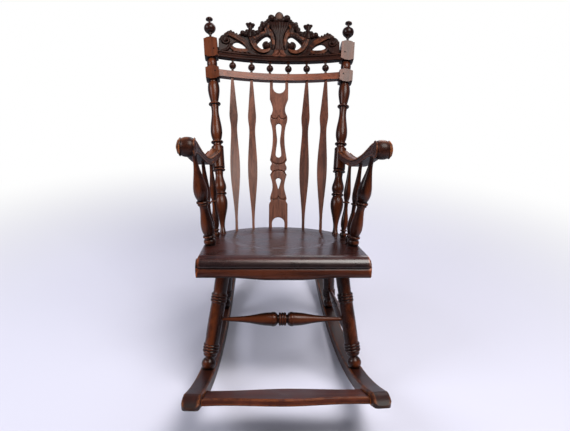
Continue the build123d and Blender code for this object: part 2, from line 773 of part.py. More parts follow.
def slat_board(shape, outline):
    """Slat cut from its bent strip: outline stands on the seat and leans outwards to its top."""
    middle = (shape["foot_x"] + shape["top_x"]) / 2
    strip = Pos(middle, 0, 0) * slat_strip(shape, 120)
    turn = degrees(atan2(shape["top_x"] - shape["foot_x"], rail_bottom))
    flat = Pos(shape["foot_x"], 0, 0) * Rot(0, turn, 0) * outline
    trimmed = strip & flat & (Pos(0, 0, rail_bottom) * Rot(180, 0, 0) * Box(FAR, FAR, FAR, align=BOTTOM))
    return largest((back_plane * trimmed) & beyond(seat_plane))


def slat_outline():
    rows = [
        (-20, slat_foot_width), (60, slat_foot_width),
        [(107, 15), (159, 24.6), (slat_swell_up - 35, slat_swell_width),
         (slat_swell_up + 37, slat_swell_width - 1.5), (slat_waist_up - 28, slat_waist_width + 1.5),
         (slat_waist_up, slat_waist_width), (434, 27)],
        (slat_shoulder_up, slat_shoulder_width, 0.6),
        [(491, 27), (546, 18.5), (rail_bottom, slat_top_width)],
        (rail_bottom + 20, slat_top_width),
    ]
    return symmetric_board(rows, FAR)


def splat_outline():
    wide, neck, lobe = splat_wide, splat_neck_width, splat_lobe_width
    rows = [
        (-30, wide), (125, wide), (131, wide - 6), (138, 57.5), (147, lobe),
        [(158, lobe - 5), (188, neck - 2), (222, lobe - 11), (241, lobe)], (254, 51.5, -1),
        (260, lobe - 3, -1), (274, lobe - 3, 1), (286, 53, -1),
        (298, lobe + 1, -1), [(321, 58), (350, 49.5), (386, neck - 2.4), (423, 52), (446, lobe)],
        (468, lobe, 1), (478, 54, -1), [(488, neck + 0.5), (505, 52), (531, wide)], (rail_bottom + 20, wide),
    ]
    board = symmetric_board(rows, FAR)
    notch = Plane.XZ * (Pos(0, splat_notch_bottom + splat_notch_half_width) * Circle(splat_notch_half_width))
    notch = notch + Plane.XZ * Pos(0, splat_notch_bottom + splat_notch_half_width) * Rectangle(
        2 * splat_notch_half_width, 120, align=(Align.CENTER, Align.MIN))
    arch = Plane.XZ * Pos(0, splat_arch_top - splat_notch_half_width) * Circle(splat_notch_half_width)
    arch = arch + Plane.XZ * Pos(0, splat_arch_top - splat_notch_half_width) * Rectangle(
        2 * splat_notch_half_width, 120, align=(Align.CENTER, Align.MAX))
    for opening in (notch, arch, splat_slot(), splat_drop()):
        board = board - extrude(opening, amount=FAR, both=True, dir=(0, 1, 0))
    return board


def splat_slot():
    """Long opening with round ends and a narrow middle."""
    end, waist = splat_slot_half_width, splat_slot_waist
    low, high = splat_slot_bottom + end, splat_slot_top - end
    middle = (low + high) / 2
    right = Spline((end, low), (waist, middle), (end, high), tangents=((0, 1), (0, 1)))
    left = Spline((-end, high), (-waist, middle), (-end, low), tangents=((0, -1), (0, -1)))
    top = ThreePointArc((end, high), (0, high + end), (-end, high))
    bottom = ThreePointArc((-end, low), (0, low - end), (end, low))
    return Plane.XZ * make_face([right, top, left, bottom])


def splat_drop():
    """Small teardrop opening, point down."""
    radius, waist = splat_drop_radius, splat_drop_waist
    centre = splat_drop_top - radius
    halfway = (splat_drop_bottom + centre) / 2
    right = ThreePointArc((0, splat_drop_bottom), (waist, halfway), (radius, centre))
    left = ThreePointArc((0, splat_drop_bottom), (-waist, halfway), (-radius, centre))
    top = ThreePointArc((-radius, centre), (0, splat_drop_top), (radius, centre))
    return Plane.XZ * make_face([right, top, left])


def slat_tenons(shape, width, offset=0.0, socket=False):
    """Flat tenons at the foot and the top of a slat or of one prong of the splat."""
    knee_up, knee_b = shape["knee"]
    foot_up = shape["foot_b"] * tan(radians(back_lean - seat_tilt))
    foot = back_point(shape["foot_x"] + offset, foot_up, shape["foot_b"])
    knee = back_point(shape["foot_x"] + offset, knee_up, knee_b)
    low = Plane(origin=foot, x_dir=(1, 0, 0), z_dir=knee - foot)
    top_x = shape["top_x"] + offset
    high = Plane(origin=back_point(top_x, rail_bottom, bow_at(shape["top_x"])), x_dir=(1, 0, 0),
                 z_dir=-back_plane.z_dir)
    return tongue(low, width, slat_tenon_thickness, slat_tenon_depth + 2, socket), \
        tongue(high, width, slat_tenon_thickness, slat_tenon_depth, socket)


def slat_all_tenons(shape, socket=False):
    if shape is splat:
        inset = (splat_notch_half_width + splat_wide / 2) / 2
        pairs = [slat_tenons(splat, 7, offset, socket) for offset in (-inset, inset)]
        return [tenon for pair in pairs for tenon in pair]
    return list(slat_tenons(shape, slat_foot_width - 2.5, 0.0, socket))


def slat(shape):
    board = slat_board(shape, splat_outline() if shape is splat else slat_outline())
    for tenon in slat_all_tenons(shape):
        board = board + tenon
    return board


# ================================================================ arms
arm_roll_centre = Vector(arm_roll_inner_x + arm_roll_width / 2, seat_front_y + arm_roll_back,
                         seat_front_height + arm_roll_up)
# how far along the post the arm meets it
arm_height_on_post = (seat_front_height + arm_low_up - post_foot_point.Z) / post_direction.Z
arm_post_point = post_point(arm_height_on_post)


def arm_blank():
    """Sawn arm: the side view and the plan view cut through each other, and the rolled front."""
    roll, radius = arm_roll_centre, arm_roll_radius
    end_y = arm_post_point.Y - post_neck_diameter / 4
    half_rear = arm_rear_thickness / 2
    crown = [Vector(0, roll.Y + back, roll.Z - drop) for back, drop, _ in arm_crown]
    under = [Vector(0, roll.Y + back, roll.Z - drop - thick) for back, drop, thick in arm_crown]
    crown_end = Vector(0, end_y, arm_post_point.Z + half_rear)
    under_end = Vector(0, end_y, arm_post_point.Z - half_rear)
    crown_start = Vector(0, roll.Y + radius * 0.7, roll.Z + radius * 0.7)
    under_start = Vector(0, roll.Y + radius * 0.56, roll.Z - radius * 0.82)
    side = [
        Spline(crown_start, *crown, crown_end), Line(crown_end, under_end),
        Spline(under_start, *under, under_end), Line(under_start, (0, roll.Y, roll.Z)),
        Line((0, roll.Y, roll.Z), crown_start),
    ]
    side_view = extrude(make_face(side), amount=FAR, both=True, dir=(1, 0, 0))
    middle = [Vector(roll.X - inward, roll.Y + back, 0) for back, inward in arm_inward]
    half, rear = Vector(arm_width / 2, 0, 0), Vector(arm_rear_width / 2, 0, 0)
    start, end = Vector(roll.X, roll.Y, 0), Vector(arm_post_point.X + 6, end_y, 0)
    outer = Spline(start + half, *[point + half for point in middle], end + rear)
    inner = Spline(start - half, *[point - half for point in middle], end - rear)
    plan = make_face([outer, inner, Line(start - half, start + half), Line(end - rear, end + rear)])
    board = side_view & extrude(plan, amount=FAR)
    drum_end = Pos(arm_roll_inner_x, roll.Y, roll.Z) * Rot(0, 90, 0)
    return board + drum_end * Cylinder(radius, arm_roll_width, align=BOTTOM)


def arm_tenon(socket=False):
    """Peg from the back end of the arm into the post."""
    entry = arm_post_point - Vector(0, arm_drum_diameter / 2, 0)
    plane = Plane(origin=entry, x_dir=(1, 0, 0), z_dir=(0, -1, 0))
    return peg(plane, arm_tenon_diameter, arm_tenon_depth, socket)


def arm_button():
    """Turned button on the outer face of the arm's roll."""
    r, t = arm_button_radius, arm_button_thickness
    rows = [(0, 2 * r), (t * 0.5, 2 * r, 1.5), (t * 0.4, 1.5 * r), (t * 0.75, 1.4 * r, 1), (t * 0.6, r),
            (t, r * 0.4, 1.5), (t, 0.2)]
    outer_x = arm_roll_inner_x + arm_roll_width
    return Pos(outer_x, arm_roll_centre.Y, arm_roll_centre.Z) * Rot(0, 90, 0) * turned(rows)


# ================================================================ arm spindles
def spindle_axis(number):
    """Foot of an arm spindle on the seat and its head at the underside of the arm."""
    across, behind = spindle_feet[number]
    foot = seat_point(across, behind)
    head_x, head_behind = spindle_heads[number]
    y = seat_front_y + head_behind
    below = [(0, arm_roll_radius)] + [(back, drop + thick) for back, drop, thick in arm_crown]
    back = y - arm_roll_centre.Y
    for (near, low), (far, high) in zip(below, below[1:]):
        if near <= back <= far:
            drop = low + (high - low) * (back - near) / (far - near)
    return foot, Vector(head_x, y, arm_roll_centre.Z - drop)


def thick_spindle_rows(length):
    big, foot = thick_spindle_diameter, thick_spindle_foot_diameter
    return [
        (-12, foot - 4), (3, foot - 4), (20, foot - 2, 3), (22, foot - 9),
        *ring(30, foot, foot - 9, 8), (36, foot - 8), [(62, foot + 3), (98, foot - 5), (124, foot * 0.7)],
        (130, foot * 0.72), *ring(136, foot - 3, foot * 0.72, 6), *ring(144, foot + 2, foot * 0.72, 9),
        (150, foot * 0.8), [(178, big), (205, big * 0.85), (length - 40, big * 0.42),
                            (length, spindle_head_diameters[0])],
        (length + 12, spindle_head_diameters[0]),
    ]


def thin_spindle_rows(length, head):
    big, foot = thin_spindle_diameter, thin_spindle_foot_diameter
    return [
        (-12, foot - 4), (2, foot - 4), (16, foot - 1, 2), (18, foot - 8), *ring(25, foot - 1, foot - 8, 6),
        (30, foot - 7), [(56, foot + 2), (88, foot - 6), (length * 0.45, foot * 0.6)],
        (length * 0.47, foot * 0.6), *ring(length * 0.49, foot - 1, foot * 0.6, 6),
        (length * 0.51, foot * 0.66),
        [(length * 0.6, big - 1), (length * 0.68, big * 0.9), (length - 30, head * 1.1), (length, head)],
        (length + 12, head),
    ]


def arm_spindle(number, arm):
    foot, head = spindle_axis(number)
    length = (head - foot).length
    if number == 0:
        rows = thick_spindle_rows(length)
    else:
        rows = thin_spindle_rows(length, spindle_head_diameters[number])
    blank = (frame_along(foot, head) * turned(rows)) & beyond(seat_plane)
    spindle = largest(blank - arm)
    for tenon in spindle_tenons(number):
        spindle = spindle + tenon
    return spindle


def spindle_tenons(number, socket=False):
    foot, head = spindle_axis(number)
    return [peg(plane, spindle_tenon_diameter, spindle_tenon_depth, socket)
            for plane in (frame_along(foot, head), frame_along(head, foot))]


# ================================================================ seat, under-board and rosettes
def seat_blank():
    nose, straight = seat_nose, seat_straight_length
    half, back = seat_half_width, seat_round_length
    rear_arc = Pos(0, straight) * Ellipse(half, back)
    plan = rear_arc & (Pos(0, straight) * Rectangle(4 * half, 4 * back, align=(Align.CENTER, Align.MIN)))
    plan = plan + Pos(0, -nose) * Rectangle(2 * half, nose + straight, align=(Align.CENTER, Align.MIN))
    plank = extrude(plan, amount=-seat_thickness)
    plank = fillet(plank.edges().filter_by(lambda edge: abs(edge.tangent_at(0.5).Z) < 0.5), seat_edge_radius)
    roll = seat_roll_radius
    lower_left = (Align.MIN, Align.MIN)
    side = Plane.YZ * (Pos(-nose, -seat_thickness) * Rectangle(FAR, seat_thickness, align=lower_left))
    corner = Plane.YZ * (Pos(-nose, -roll) * Rectangle(roll, roll, align=lower_left))
    rounding = Plane.YZ * (Pos(roll - nose, -roll) * Circle(roll))
    profile = side - (corner - rounding)
    return plank & extrude(profile, amount=FAR, both=True, dir=(1, 0, 0))


def saddle():
    """Shallow dish with a sloping rim."""
    top = Pos(0, saddle_centre, 0.01) * Ellipse(saddle_half_width, saddle_half_length)
    floor = Pos(0, saddle_centre, -saddle_depth) * Ellipse(
        saddle_half_width - saddle_slope, saddle_half_length - saddle_slope)
    return loft([top, floor], ruled=True)


def under_board():
    nose, height = seat_nose, apron_front_height
    bottom = -seat_thickness - height
    radius = apron_nose_radius
    side = Pos(-nose, bottom - apron_drop) * Rectangle(
        apron_length, height + apron_drop, align=(Align.MIN, Align.MIN))
    profile = Plane.YZ * side
    half = seat_half_width + apron_overhang
    front = flat_outline([
        (-half, -seat_thickness), (half, -seat_thickness), (half, bottom), (apron_drop_run_out, bottom),
        (apron_drop_half_width, bottom - apron_drop), (-apron_drop_half_width, bottom - apron_drop),
        (-apron_drop_run_out, bottom), (-half, bottom),
    ])
    board = extrude(profile, amount=FAR, both=True, dir=(1, 0, 0))
    board = board & extrude(front, amount=FAR, both=True, dir=(0, 1, 0))
    front_edges = board.edges().group_by(Axis.Y)[0].filter_by(
        lambda edge: abs(edge.tangent_at(0.5).X) > 0.9)
    low = front_edges.filter_by(lambda edge: edge.center().Z < -seat_thickness - 1)
    board = fillet(low, radius)
    high = board.edges().filter_by(
        lambda edge: abs(edge.center().Z + seat_thickness) < 0.1 and abs(edge.center().Y + nose) < 0.1)
    return chamfer(high, quirk)


def rosette_place():
    return seat_plane * Pos(seat_half_width, rosette_centre, -seat_thickness - quirk) * Rot(0, 90, 0)


def rosette():
    """Turned disc with rings and a button, on the left end of the seat's front."""
    r, t, button = rosette_radius, rosette_thickness, rosette_button_radius
    rows = [
        (0, 2 * r), (t * 0.6, 2 * r), (t * 0.6, 2 * r - 9, 2), (t * 0.35, 2 * r - 11), (t * 0.35, 2 * r - 17),
        (t * 0.6, 2 * r - 18), (t * 0.6, 2 * button + 12, 1.5), (t * 0.3, 2 * button + 10),
        (t * 0.3, 2 * button + 1), (t * 0.5, 2 * button), (t, 1, 1.5),
    ]
    return rosette_place() * turned(rows)


def rosette_recess():
    return rosette_place() * Cylinder(rosette_radius + socket_clearance, 3 * rosette_thickness, align=BOTTOM)


# ================================================================ assembly
def build():
    """Every piece of the chair by name."""
    nodes = {}
    arm_stock = arm_blank()
    post_stock = post_blank()
    slats = (("outer", outer_slat), ("inner", inner_slat))

    # posts
    post = (post_stock & beyond(seat_plane)) + post_tenon()
    post = post - arm_tenon(socket=True) - finial_socket()
    post = post - lower_rail_tenon(socket=True) - crest_tenon(socket=True)
    for hole in joint_pins(socket=True):
        post = post - hole

    # arms
    arm = largest(arm_stock - post_stock) + arm_tenon()
    for number in range(3):
        arm = arm - spindle_tenons(number, socket=True)[1]

    # rails
    rail, crest = lower_rail(), crest_rail()
    for pin in joint_pins(socket=True):
        rail = rail - pin - mirrored(pin)
        crest = crest - pin - mirrored(pin)
    for x in ball_spindle_at:
        low, high = ball_spindle_sockets(x)
        rail = rail - low - mirrored(low)
        crest = crest - high - mirrored(high)

    # seat, with a socket for everything that stands on it or under it
    seat = seat_plane * (seat_blank() - saddle())
    seat_sockets = [post_tenon(socket=True)]
    for axis in (front_leg_axis, rear_leg_axis):
        seat_sockets.append(leg_tenons(axis, socket=True)[1])
    for number in range(3):
        seat_sockets.append(spindle_tenons(number, socket=True)[0])
    for _, shape in slats:
        low, high = slat_all_tenons(shape, socket=True)
        seat_sockets.append(low)
        rail = rail - high - mirrored(high)
    for socket in seat_sockets:
        seat = seat - socket - mirrored(socket)
    splat_sockets = slat_all_tenons(splat, socket=True)
    for number, socket in enumerate(splat_sockets):
        if number % 2:
            rail = rail - socket
        else:
            seat = seat - socket

    # legs
    front_stretcher_holes = stretcher_sockets(
        front_stretcher_start, opposite(front_stretcher_start), stretcher_end_diameter)
    rear_stretcher_holes = stretcher_sockets(
        rear_stretcher_start, opposite(rear_stretcher_start), stretcher_end_diameter)
    side_holes = stretcher_sockets(*side_stretcher_line, side_stretcher_end_diameter)
    legs = {}
    for name, axis, holes in (
        ("front", front_leg_axis, (front_stretcher_holes[0], side_holes[0])),
        ("rear", rear_leg_axis, (rear_stretcher_holes[0], side_holes[1])),
    ):
        leg = leg_blank(axis) & above_rocker
        leg = largest(leg - beyond(seat_underside))
        for tenon in leg_tenons(axis):
            leg = leg + tenon
        for hole in holes:
            leg = leg - hole
        legs[name] = leg

    # under-board, cut round the front legs and round the rosettes
    board = seat_plane * under_board()
    foot, head = front_leg_axis
    leg_room = frame_along(head, foot) * Pos(0, 0, -5) * Cylinder(
        leg_shaft_diameter / 2 + 0.5, apron_front_height * 3, align=BOTTOM)
    for cut in (leg_room, rosette_recess()):
        board = board - cut - mirrored(cut)

    # rockers
    rocker = rocker_blank() - foot_board(socket=True)
    for axis in (front_leg_axis, rear_leg_axis):
        rocker = rocker - leg_tenons(axis, socket=True)[0]

    nodes["seat"] = seat
    nodes["front_under_board"] = board
    nodes["foot_board"] = foot_board()
    nodes["crest_rail"] = crest
    nodes["lower_back_rail"] = rail
    nodes["back_splat"] = slat(splat)
    nodes["front_stretcher"] = front_stretcher()
    nodes["rear_stretcher"] = rear_stretcher()
    one_side = {
        "rocker": rocker, "front_leg": legs["front"], "rear_leg": legs["rear"],
        "side_stretcher": side_stretcher(), "back_post": post, "finial": finial(), "arm": arm,
        "arm_button": arm_button(), "seat_rosette": rosette(),
    }
    for name, shape in slats:
        one_side[name + "_slat"] = slat(shape)
    for number, name in enumerate(("front", "middle", "rear")):
        one_side[name + "_arm_spindle"] = arm_spindle(number, arm_stock)
    for number, x in enumerate(ball_spindle_at):
        one_side["ball_spindle_%d" % (number + 1)] = ball_spindle(x)
    for name, shape in one_side.items():
        nodes[name + "_left"] = shape
        nodes[name + "_right"] = mirrored(shape)
    pins = joint_pins()
    nodes["joint_pins"] = Compound(pins + [mirrored(pin) for pin in pins])
    return nodes


def export(nodes):
    """Write each piece as it stands at rest, centred over the floor."""
    roll_centre = Pos(0, contact_y, rocker_radius)
    settle = roll_centre * Rot(-settle_angle, 0, 0) * roll_centre.inverse()
    settled = {name: settle * shape for name, shape in nodes.items()}
    box = Compound(list(settled.values())).bounding_box()
    shift = Pos(-(box.min.X + box.max.X) / 2, -(box.min.Y + box.max.Y) / 2, -box.min.Z)
    os.makedirs("parts", exist_ok=True)
    for name, shape in settled.items():
        export_step(shift * shape, "parts/%s.step" % name)


export(build())
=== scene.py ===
from math import cos, pi, radians, sin

import bmesh
import bpy
import numpy as np
from mathutils import Matrix, Vector


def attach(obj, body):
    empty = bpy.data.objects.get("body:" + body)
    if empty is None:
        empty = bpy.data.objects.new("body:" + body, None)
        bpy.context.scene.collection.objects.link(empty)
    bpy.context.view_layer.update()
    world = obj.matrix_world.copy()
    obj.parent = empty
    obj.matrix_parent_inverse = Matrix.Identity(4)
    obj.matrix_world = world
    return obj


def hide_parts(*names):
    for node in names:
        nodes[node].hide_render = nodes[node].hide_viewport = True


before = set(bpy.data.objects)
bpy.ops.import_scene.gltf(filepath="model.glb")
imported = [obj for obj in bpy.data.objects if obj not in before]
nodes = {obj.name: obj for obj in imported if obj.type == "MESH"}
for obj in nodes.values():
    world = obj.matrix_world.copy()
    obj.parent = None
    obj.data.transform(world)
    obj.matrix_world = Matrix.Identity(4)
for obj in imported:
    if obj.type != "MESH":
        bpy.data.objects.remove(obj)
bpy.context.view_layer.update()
scene = bpy.context.scene
scene.view_settings.view_transform = "Standard"

X, Y, UP = (1, 0, 0), (0, 1, 0), (0, 0, 1)
WHITE = (1.0, 1.0, 1.0)


# ------------------------------------------------------------------ node trees
def rgb(colour):
    return (*colour, 1.0)


class Nodes:
    """Short calls for building a node tree from nothing."""

    def __init__(self, tree):
        tree.nodes.clear()
        self.tree = tree

    def put(self, target, value):
        if isinstance(value, bpy.types.NodeSocket):
            self.tree.links.new(value, target)
        else:
            target.default_value = value

    def add(self, kind, inputs=None, **settings):
        """A new node. Its inputs, by name or number, are values or the sockets that feed them."""
        node = self.tree.nodes.new("ShaderNode" + kind)
        for name, value in settings.items():
            setattr(node, name, value)
        for name, value in (inputs or {}).items():
            self.put(node.inputs[name], value)
        return node

    def math(self, operation, a, b):
        return self.add("Math", {0: a, 1: b}, operation=operation, use_clamp=True).outputs[0]

    def shared(self, a, b, share):
        """The given share of a and the rest of b, added up."""
        return self.math("ADD", self.math("MULTIPLY", a, share), self.math("MULTIPLY", b, 1 - share))

    def noise(self, vector, scale, detail, rough, twist=0.0):
        inputs = {"Vector": vector, "Scale": scale, "Detail": detail, "Roughness": rough, "Distortion": twist}
        return self.add("TexNoise", inputs).outputs["Fac"]

    def ramp(self, value, span, bottom=0.0, top=1.0):
        """Smooth step from bottom to top, while the value goes from one end of the span to the other."""
        inputs = {"Value": value, "From Min": span[0], "From Max": span[1], "To Min": bottom, "To Max": top}
        return self.add("MapRange", inputs, interpolation_type="SMOOTHSTEP").outputs["Result"]

    def openness(self, reach, inside=False):
        """How open the space within reach of the surface is, on its outside or its inside."""
        return self.add("AmbientOcclusion", {"Distance": reach}, inside=inside, samples=8).outputs["AO"]

    def blend(self, share, a, b):
        """Colour a, with the given share of colour b over it."""
        node = self.add("Mix", data_type="RGBA")
        self.put(node.inputs["Factor"], share)
        self.put(node.inputs["A"], a)
        self.put(node.inputs["B"], b)
        return node.outputs["Result"]

    def sky(self, strength, colour):
        return self.add("Background", {"Strength": strength, "Color": rgb(colour)}).outputs[0]

    def switch(self, share, otherwise, shown):
        """The shader shown where share is 1, and otherwise the other."""
        return self.add("MixShader", {"Fac": share, 1: otherwise, 2: shown}).outputs[0]


def new_material(name):
    """An empty material, and the calls that fill it."""
    material = bpy.data.materials.new(name)
    material.use_nodes = True
    return material, Nodes(material.node_tree)


# ------------------------------------------------------------------ camera
CAMERA_PLACE = (-0.07657, -1.52149, 1.06274)
CAMERA_YAW, CAMERA_PITCH, CAMERA_ROLL = 3.379, 21.103, -1.668      # degrees
CAMERA_LENS, CAMERA_SENSOR = 30.551, 36.0                          # millimetres


def aimed(yaw, pitch, roll, place):
    """The camera's matrix: yaw from +Y towards +X, pitch downwards, roll to the right."""
    yaw, pitch, roll = radians(yaw), radians(pitch), radians(roll)
    ahead = Vector((sin(yaw) * cos(pitch), cos(yaw) * cos(pitch), -sin(pitch)))
    level = Vector((cos(yaw), -sin(yaw), 0))
    down = ahead.cross(level)
    right = cos(roll) * level + sin(roll) * down
    up = -(cos(roll) * down - sin(roll) * level)
    turn = Matrix((right, up, -ahead)).transposed().to_4x4()
    return Matrix.Translation(place) @ turn


camera_data = bpy.data.cameras.new("camera")
camera_data.lens = CAMERA_LENS
camera_data.sensor_width = CAMERA_SENSOR
camera = bpy.data.objects.new("camera", camera_data)
scene.collection.objects.link(camera)
camera.matrix_world = aimed(CAMERA_YAW, CAMERA_PITCH, CAMERA_ROLL, CAMERA_PLACE)
scene.camera = camera


# ------------------------------------------------------------------ light and floor
def area_light(name, place, target, size, power, colour):
    """Square soft box, with its size in metres and its power in watts."""
    data = bpy.data.lights.new(name, "AREA")
    data.shape = "SQUARE"
    data.size = size
    data.energy = power
    data.color = colour
    lamp = bpy.data.objects.new(name, data)
    scene.collection.objects.link(lamp)
    lamp.location = place
    lamp.rotation_euler = (Vector(target) - Vector(place)).to_track_quat("-Z", "Y").to_euler()


area_light("key", (0.95, -1.15, 3.1), (0, 0.1, 0.6), 1.7, 105, (1.0, 0.97, 0.93))
area_light("fill", (-2.6, -0.9, 2.2), (0, 0, 0.5), 1.4, 46, (0.95, 0.96, 1.0))
area_light("back", (0.8, 2.6, 2.3), (0, 0, 0.6), 1.5, 26, WHITE)

AMBIENT, AMBIENT_COLOUR = 0.26, (0.94, 0.95, 1.0)
ROOM, SHEET, SHEET_COLOUR = 0.1, 0.62, (0.82, 0.83, 1.0)
SHEET_SPAN = (-0.1, 0.55)                    # the Y of a mirrored ray where the room turns to sheet
FLOOR_COLOUR = (0.66, 0.66, 0.78)
FLOOR_SIZE = 16
FLOOR_FADE = (0.8, 2.6)                      # metres from the middle of the floor


def studio():
    """Even light, white to the camera. Gloss mirrors a pale sheet behind the chair and a darker room."""
    world = bpy.data.worlds.new("studio")
    world.use_nodes = True
    n = Nodes(world.node_tree)
    ray = n.add("LightPath").outputs
    direction = n.add("SeparateXYZ", {0: n.add("TexCoord").outputs["Generated"]})
    mirrored = n.sky(n.ramp(direction.outputs["Y"], SHEET_SPAN, ROOM, SHEET), SHEET_COLOUR)
    lit = n.switch(ray["Is Glossy Ray"], n.sky(AMBIENT, AMBIENT_COLOUR), mirrored)
    n.add("OutputWorld", {"Surface": n.switch(ray["Is Camera Ray"], lit, n.sky(1.0, WHITE))})
    return world


def floor_material():
    """Pale cloth that fades into the white backdrop away from the chair."""
    material, n = new_material("floor")
    distance = n.add("VectorMath", {0: n.add("TexCoord").outputs["Object"]}, operation="LENGTH")
    fade = n.ramp(distance.outputs["Value"], FLOOR_FADE)
    fade = n.math("MULTIPLY", fade, n.add("LightPath").outputs["Is Camera Ray"])
    cloth = n.add("BsdfDiffuse", {"Color": rgb(FLOOR_COLOUR)}).outputs[0]
    white = n.add("Emission", {"Strength": 1.0}).outputs[0]
    n.add("OutputMaterial", {"Surface": n.switch(fade, cloth, white)})
    return material


scene.world = studio()
bpy.ops.mesh.primitive_plane_add(size=FLOOR_SIZE, location=(0, 0, 0))
floor = bpy.context.object
floor.name = "floor"
floor.data.materials.append(floor_material())


# ------------------------------------------------------------------ the line of the back
# Millimetres. Heights run up the back from the feet of the posts, and the rails bow backwards.
LEAN = radians(30.37)
BACK_FOOT = np.array((0.0, 92.52, 368.74))
UP_THE_BACK = np.array((0.0, sin(LEAN), cos(LEAN)))
BEHIND = np.array((0.0, cos(LEAN), -sin(LEAN)))
BOW, BOW_HALF_SPAN = 30.0, 235.0
BOW_RADIUS = (BOW_HALF_SPAN ** 2 + BOW ** 2) / (2 * BOW)
CREST_BOTTOM = 676.0


def bow_at(x):
    """How far the bowed rails lie behind the posts, at x from the middle."""
    return BOW - BOW_RADIUS + np.sqrt(BOW_RADIUS ** 2 - x ** 2)


def on_crest(points):
    """From the flat drawing of the crest to its place on the chair, in metres."""
    x, up, out = points.T
    place = BACK_FOOT + np.outer(CREST_BOTTOM + up, UP_THE_BACK) + np.outer(bow_at(x) - out, BEHIND)
    place[:, 0] += x
    return place / 1000


def off_crest(points):
    """From the chair, in millimetres, to the flat drawing of the crest."""
    flat = points - BACK_FOOT
    x = flat[:, 0]
    return np.stack((x, flat @ UP_THE_BACK - CREST_BOTTOM, bow_at(x) - flat @ BEHIND), 1)


# ------------------------------------------------------------------ wood
# Each noise has a scale per metre, a detail, a roughness and at times a twist. Fibres, streaks and
# the unevenness of the rubbed and painted-lit side follow the grain, drawn out along it.
FIBRES, STREAKS, UNEVENNESS = (420, 6, 0.65), (60, 4, 0.6, 0.6), (26, 4, 0.6)
CLOUDS, CHIPS = (9, 3, 0.5, 0.4), (38, 4, 0.6)
DRAWN_OUT = 14
# An effect comes in over a span of its noise, openness or direction.
STREAK_SPAN, PATCH_SPAN, CHIP_SPAN, UNEVEN_SPAN = (0.36, 0.66), (0.42, 0.68), (0.34, 0.6), (0.3, 0.62)
FACING_SPAN, UNDERSIDE_SPAN, ROUGH_SPAN = (0.55, 1.02), (-0.2, -0.85), (0.3, 0.7)
CORNER_SPAN, CREASE_SPAN = (0.75, 0.2), (0.86, 0.45)
EDGE_FALL = 0.36                             # of openness, from the first wear to an edge worn through
CORNER_REACH, CREASE_REACH = 0.03, 0.006     # metres
# painted shade: how dark the creases and the faces that look down get
CREASE_SHADE, UNDERSIDE_SHADE, SPOT_COVER = 0.85, 0.8, 0.85
SHADE_COLOUR, SPOT_CORE = 0.2, 0.6            # of the dark stain's colour, for the painted shade, and of a spot's radius
FIBRE_SHARE, FIBRE_GLOSS_SHARE = 0.45, 0.4
GLOSS_RANGE, SHADE_DULLS, COAT_ROUGHNESS = 0.14, 0.3, 0.2
BUMP_DEPTH = 0.0006                          # metres


